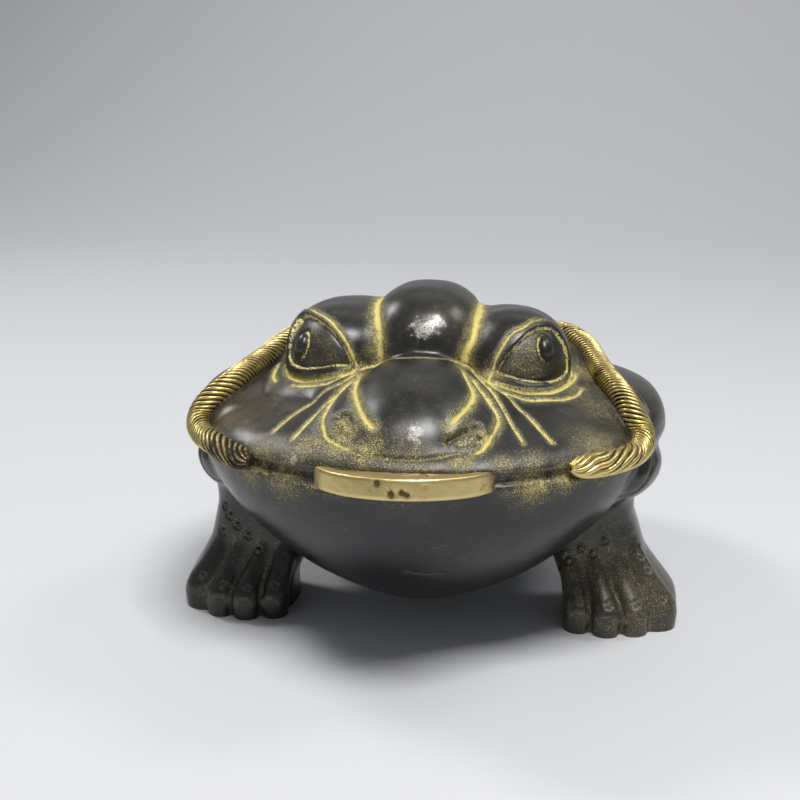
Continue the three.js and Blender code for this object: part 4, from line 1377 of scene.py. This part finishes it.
# %% Gilded rope and brass coin
def dirty_metal(name, clean, dirt, stain_size, amount, start, roughness):
    """Bright metal with dirt in the places that the `hollow` attribute gives, and in stains."""
    material, tree, shader = new_material(name)
    where = add_node(tree, "ShaderNodeTexCoord").outputs["Object"]
    hollow = add_node(tree, "ShaderNodeAttribute", attribute_name="hollow").outputs["Fac"]
    stains, grain = (add_node(tree, NOISE, {"Vector": where, "Scale": grains(size), "Detail": 4.0})
                     for size in (stain_size, 0.35))
    depth = add_node(tree, MATHS, {0: stains, 1: amount, 2: hollow}, operation="MULTIPLY_ADD")
    depth = add_node(tree, MATHS, {0: grain, 1: 0.6, 2: depth}, operation="MULTIPLY_ADD")
    least = 0.5 * amount + 0.3 + start
    soiled = add_node(tree, RANGE, {"Value": depth, "From Min": least, "From Max": least + 0.35})
    colour = add_node(tree, MIX, {0: soiled, 6: linear(clean), 7: linear(dirt)}, data_type="RGBA")
    metal = add_node(tree, RANGE, {"Value": soiled, "To Min": 0.95, "To Max": 0.3})
    rough = add_node(tree, RANGE, {"Value": soiled, "To Min": roughness, "To Max": 0.7})
    bump = add_node(tree, "ShaderNodeBump", {"Strength": 0.5, "Distance": 0.05 * MM, "Height": grain})
    for socket, node in (("Metallic", metal), ("Roughness", rough), ("Normal", bump)):
        tree.links.new(node.outputs[0], shader.inputs[socket])
    tree.links.new(colour.outputs[2], shader.inputs["Base Color"])
    return material


gilding = dirty_metal("gilded bronze", "#e6cd85", "#2b2216", 4, 1.2, 0.1, 0.34)
brass = dirty_metal("cast brass", "#e0c98c", "#5c4526", 3, 1.6, 0.2, 0.42)
print("materials", [material.name for material in bpy.data.materials])

# %% [markdown]
# The casting is drawn by two meshes, the skin and the rope that lies on it. The skin takes the place of the
# frame's toad, and the cash coin that of its coin. Nothing on this toad moves, so all ride on its one body.

# %% The three pieces
def finished(name, bm, material, node=None):
    thing = new_object(name, bm)
    thing.data.materials.append(material)
    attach(thing, "root")
    if node:
        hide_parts(node)
    return thing


for piece in (finished("toad_skin", skin, patinated_bronze(), "toad"),
              finished("rope_relief", rope, gilding),
              finished("cash_coin", coin, brass, "coin")):
    print(piece.name, len(piece.data.polygons), "faces")

# %% [markdown]
# ## Camera, floor and light
#
# The camera stands where the photographer's did: a little to the toad's left of centre, looking down at it.

# %% Camera
YAW, PITCH, ROLL = 8, 16, -0.62
CAMERA_PLACE = Vector((34.49, -300.6, 131.22)) * MM
FIELD_OF_VIEW = 32
SENSOR = 36

camera_data = bpy.data.cameras.new("camera")
camera_data.sensor_width = SENSOR
camera_data.lens = camera_data.sensor_width / 2 / math.tan(math.radians(FIELD_OF_VIEW / 2))
camera = bpy.data.objects.new("camera", camera_data)
camera.matrix_world = (Matrix.Translation(CAMERA_PLACE) @ Matrix.Rotation(math.radians(YAW), 4, "Z")
                       @ Matrix.Rotation(math.radians(90 - PITCH), 4, "X")
                       @ Matrix.Rotation(math.radians(ROLL), 4, "Z"))
bpy.context.collection.objects.link(camera)
bpy.context.scene.camera = camera
print("lens", round(camera_data.lens, 1), "mm")

# %% [markdown]
# The floor is a pale sheet of paper that curves up behind, as in a studio, so no edge shows. One edge is
# pulled along the floor, spun through a quarter turn and pulled up.

# %% Paper sweep
SWEEP_WIDTH = 2.4
SWEEP_FRONT = -0.9
SWEEP_FLAT = 0.45
SWEEP_RADIUS = 0.6
SWEEP_HEIGHT = 1.3
SWEEP_STEPS = 24

paper = bmesh.new()
start = bmesh.ops.create_vert(paper, co=(-SWEEP_WIDTH / 2, SWEEP_FRONT, 0))["vert"]
end = bmesh.ops.create_vert(paper, co=(SWEEP_WIDTH / 2, SWEEP_FRONT, 0))["vert"]
edges = [paper.edges.new(start + end)]


def pulled(edges, vec):
    made = bmesh.ops.extrude_edge_only(paper, edges=edges)["geom"]
    bmesh.ops.translate(paper, vec=vec, verts=of_kind(made, bmesh.types.BMVert))
    return [edge for edge in of_kind(made, bmesh.types.BMEdge)
            if edge.is_boundary and len({vert.co.x for vert in edge.verts}) > 1]


edges = pulled(edges, (0, SWEEP_FLAT - SWEEP_FRONT, 0))
bent = bmesh.ops.spin(paper, geom=edges, cent=(0, SWEEP_FLAT, SWEEP_RADIUS), axis=(1, 0, 0), dvec=(0, 0, 0),
                      angle=math.pi / 2, steps=SWEEP_STEPS)["geom_last"]
edges = pulled(of_kind(bent, bmesh.types.BMEdge), (0, 0, SWEEP_HEIGHT))
sweep = new_object("sweep", paper)
sheet, _, sheet_shader = new_material("matt paper")
sheet_shader.inputs["Base Color"].default_value = linear("#d9dadc")
sheet_shader.inputs["Roughness"].default_value = 0.9
sweep.data.materials.append(sheet)
print("sweep", len(sweep.data.polygons), "faces")

# %% [markdown]
# The highlights on the brows and the nose show where the light came from: a large window high in front, and
# two smaller ones behind on the left and right. A strip lights the paper behind, and a dim grey room fills
# the shade under the belly.

# %% Softboxes
SOFTBOXES = {  # place, aim and size in millimetres, watts
    "front_top": ((110, -250, 590), (0, -60, 10), (230, 190), 3.2),
    "left_high": ((-400, 200, 470), (0, 0, 40), (130, 130), 1.1),
    "right_high": ((400, 150, 560), (0, 0, 40), (150, 150), 0.6),
    "backdrop": ((0, 500, 700), (0, 900, 200), (500, 100), 1.1),
}

for name, (middle, aim, size, watts) in SOFTBOXES.items():
    data = bpy.data.lights.new(name, "AREA")
    data.shape = "RECTANGLE"
    data.size, data.size_y = (side * MM for side in size)
    data.energy = watts
    lamp = bpy.data.objects.new(name, data)
    lamp.location = Vector(middle) * MM
    lamp.rotation_euler = (Vector(aim) - Vector(middle)).to_track_quat("-Z", "Y").to_euler()
    bpy.context.collection.objects.link(lamp)
world = bpy.data.worlds.new("room")
world.use_nodes = True
background = world.node_tree.nodes["Background"]
background.inputs["Color"].default_value = linear("#c8ccd2")
background.inputs["Strength"].default_value = 0.3
bpy.context.scene.world = world
bpy.context.scene.view_settings.view_transform = "Standard"
print(len(SOFTBOXES), "softboxes")
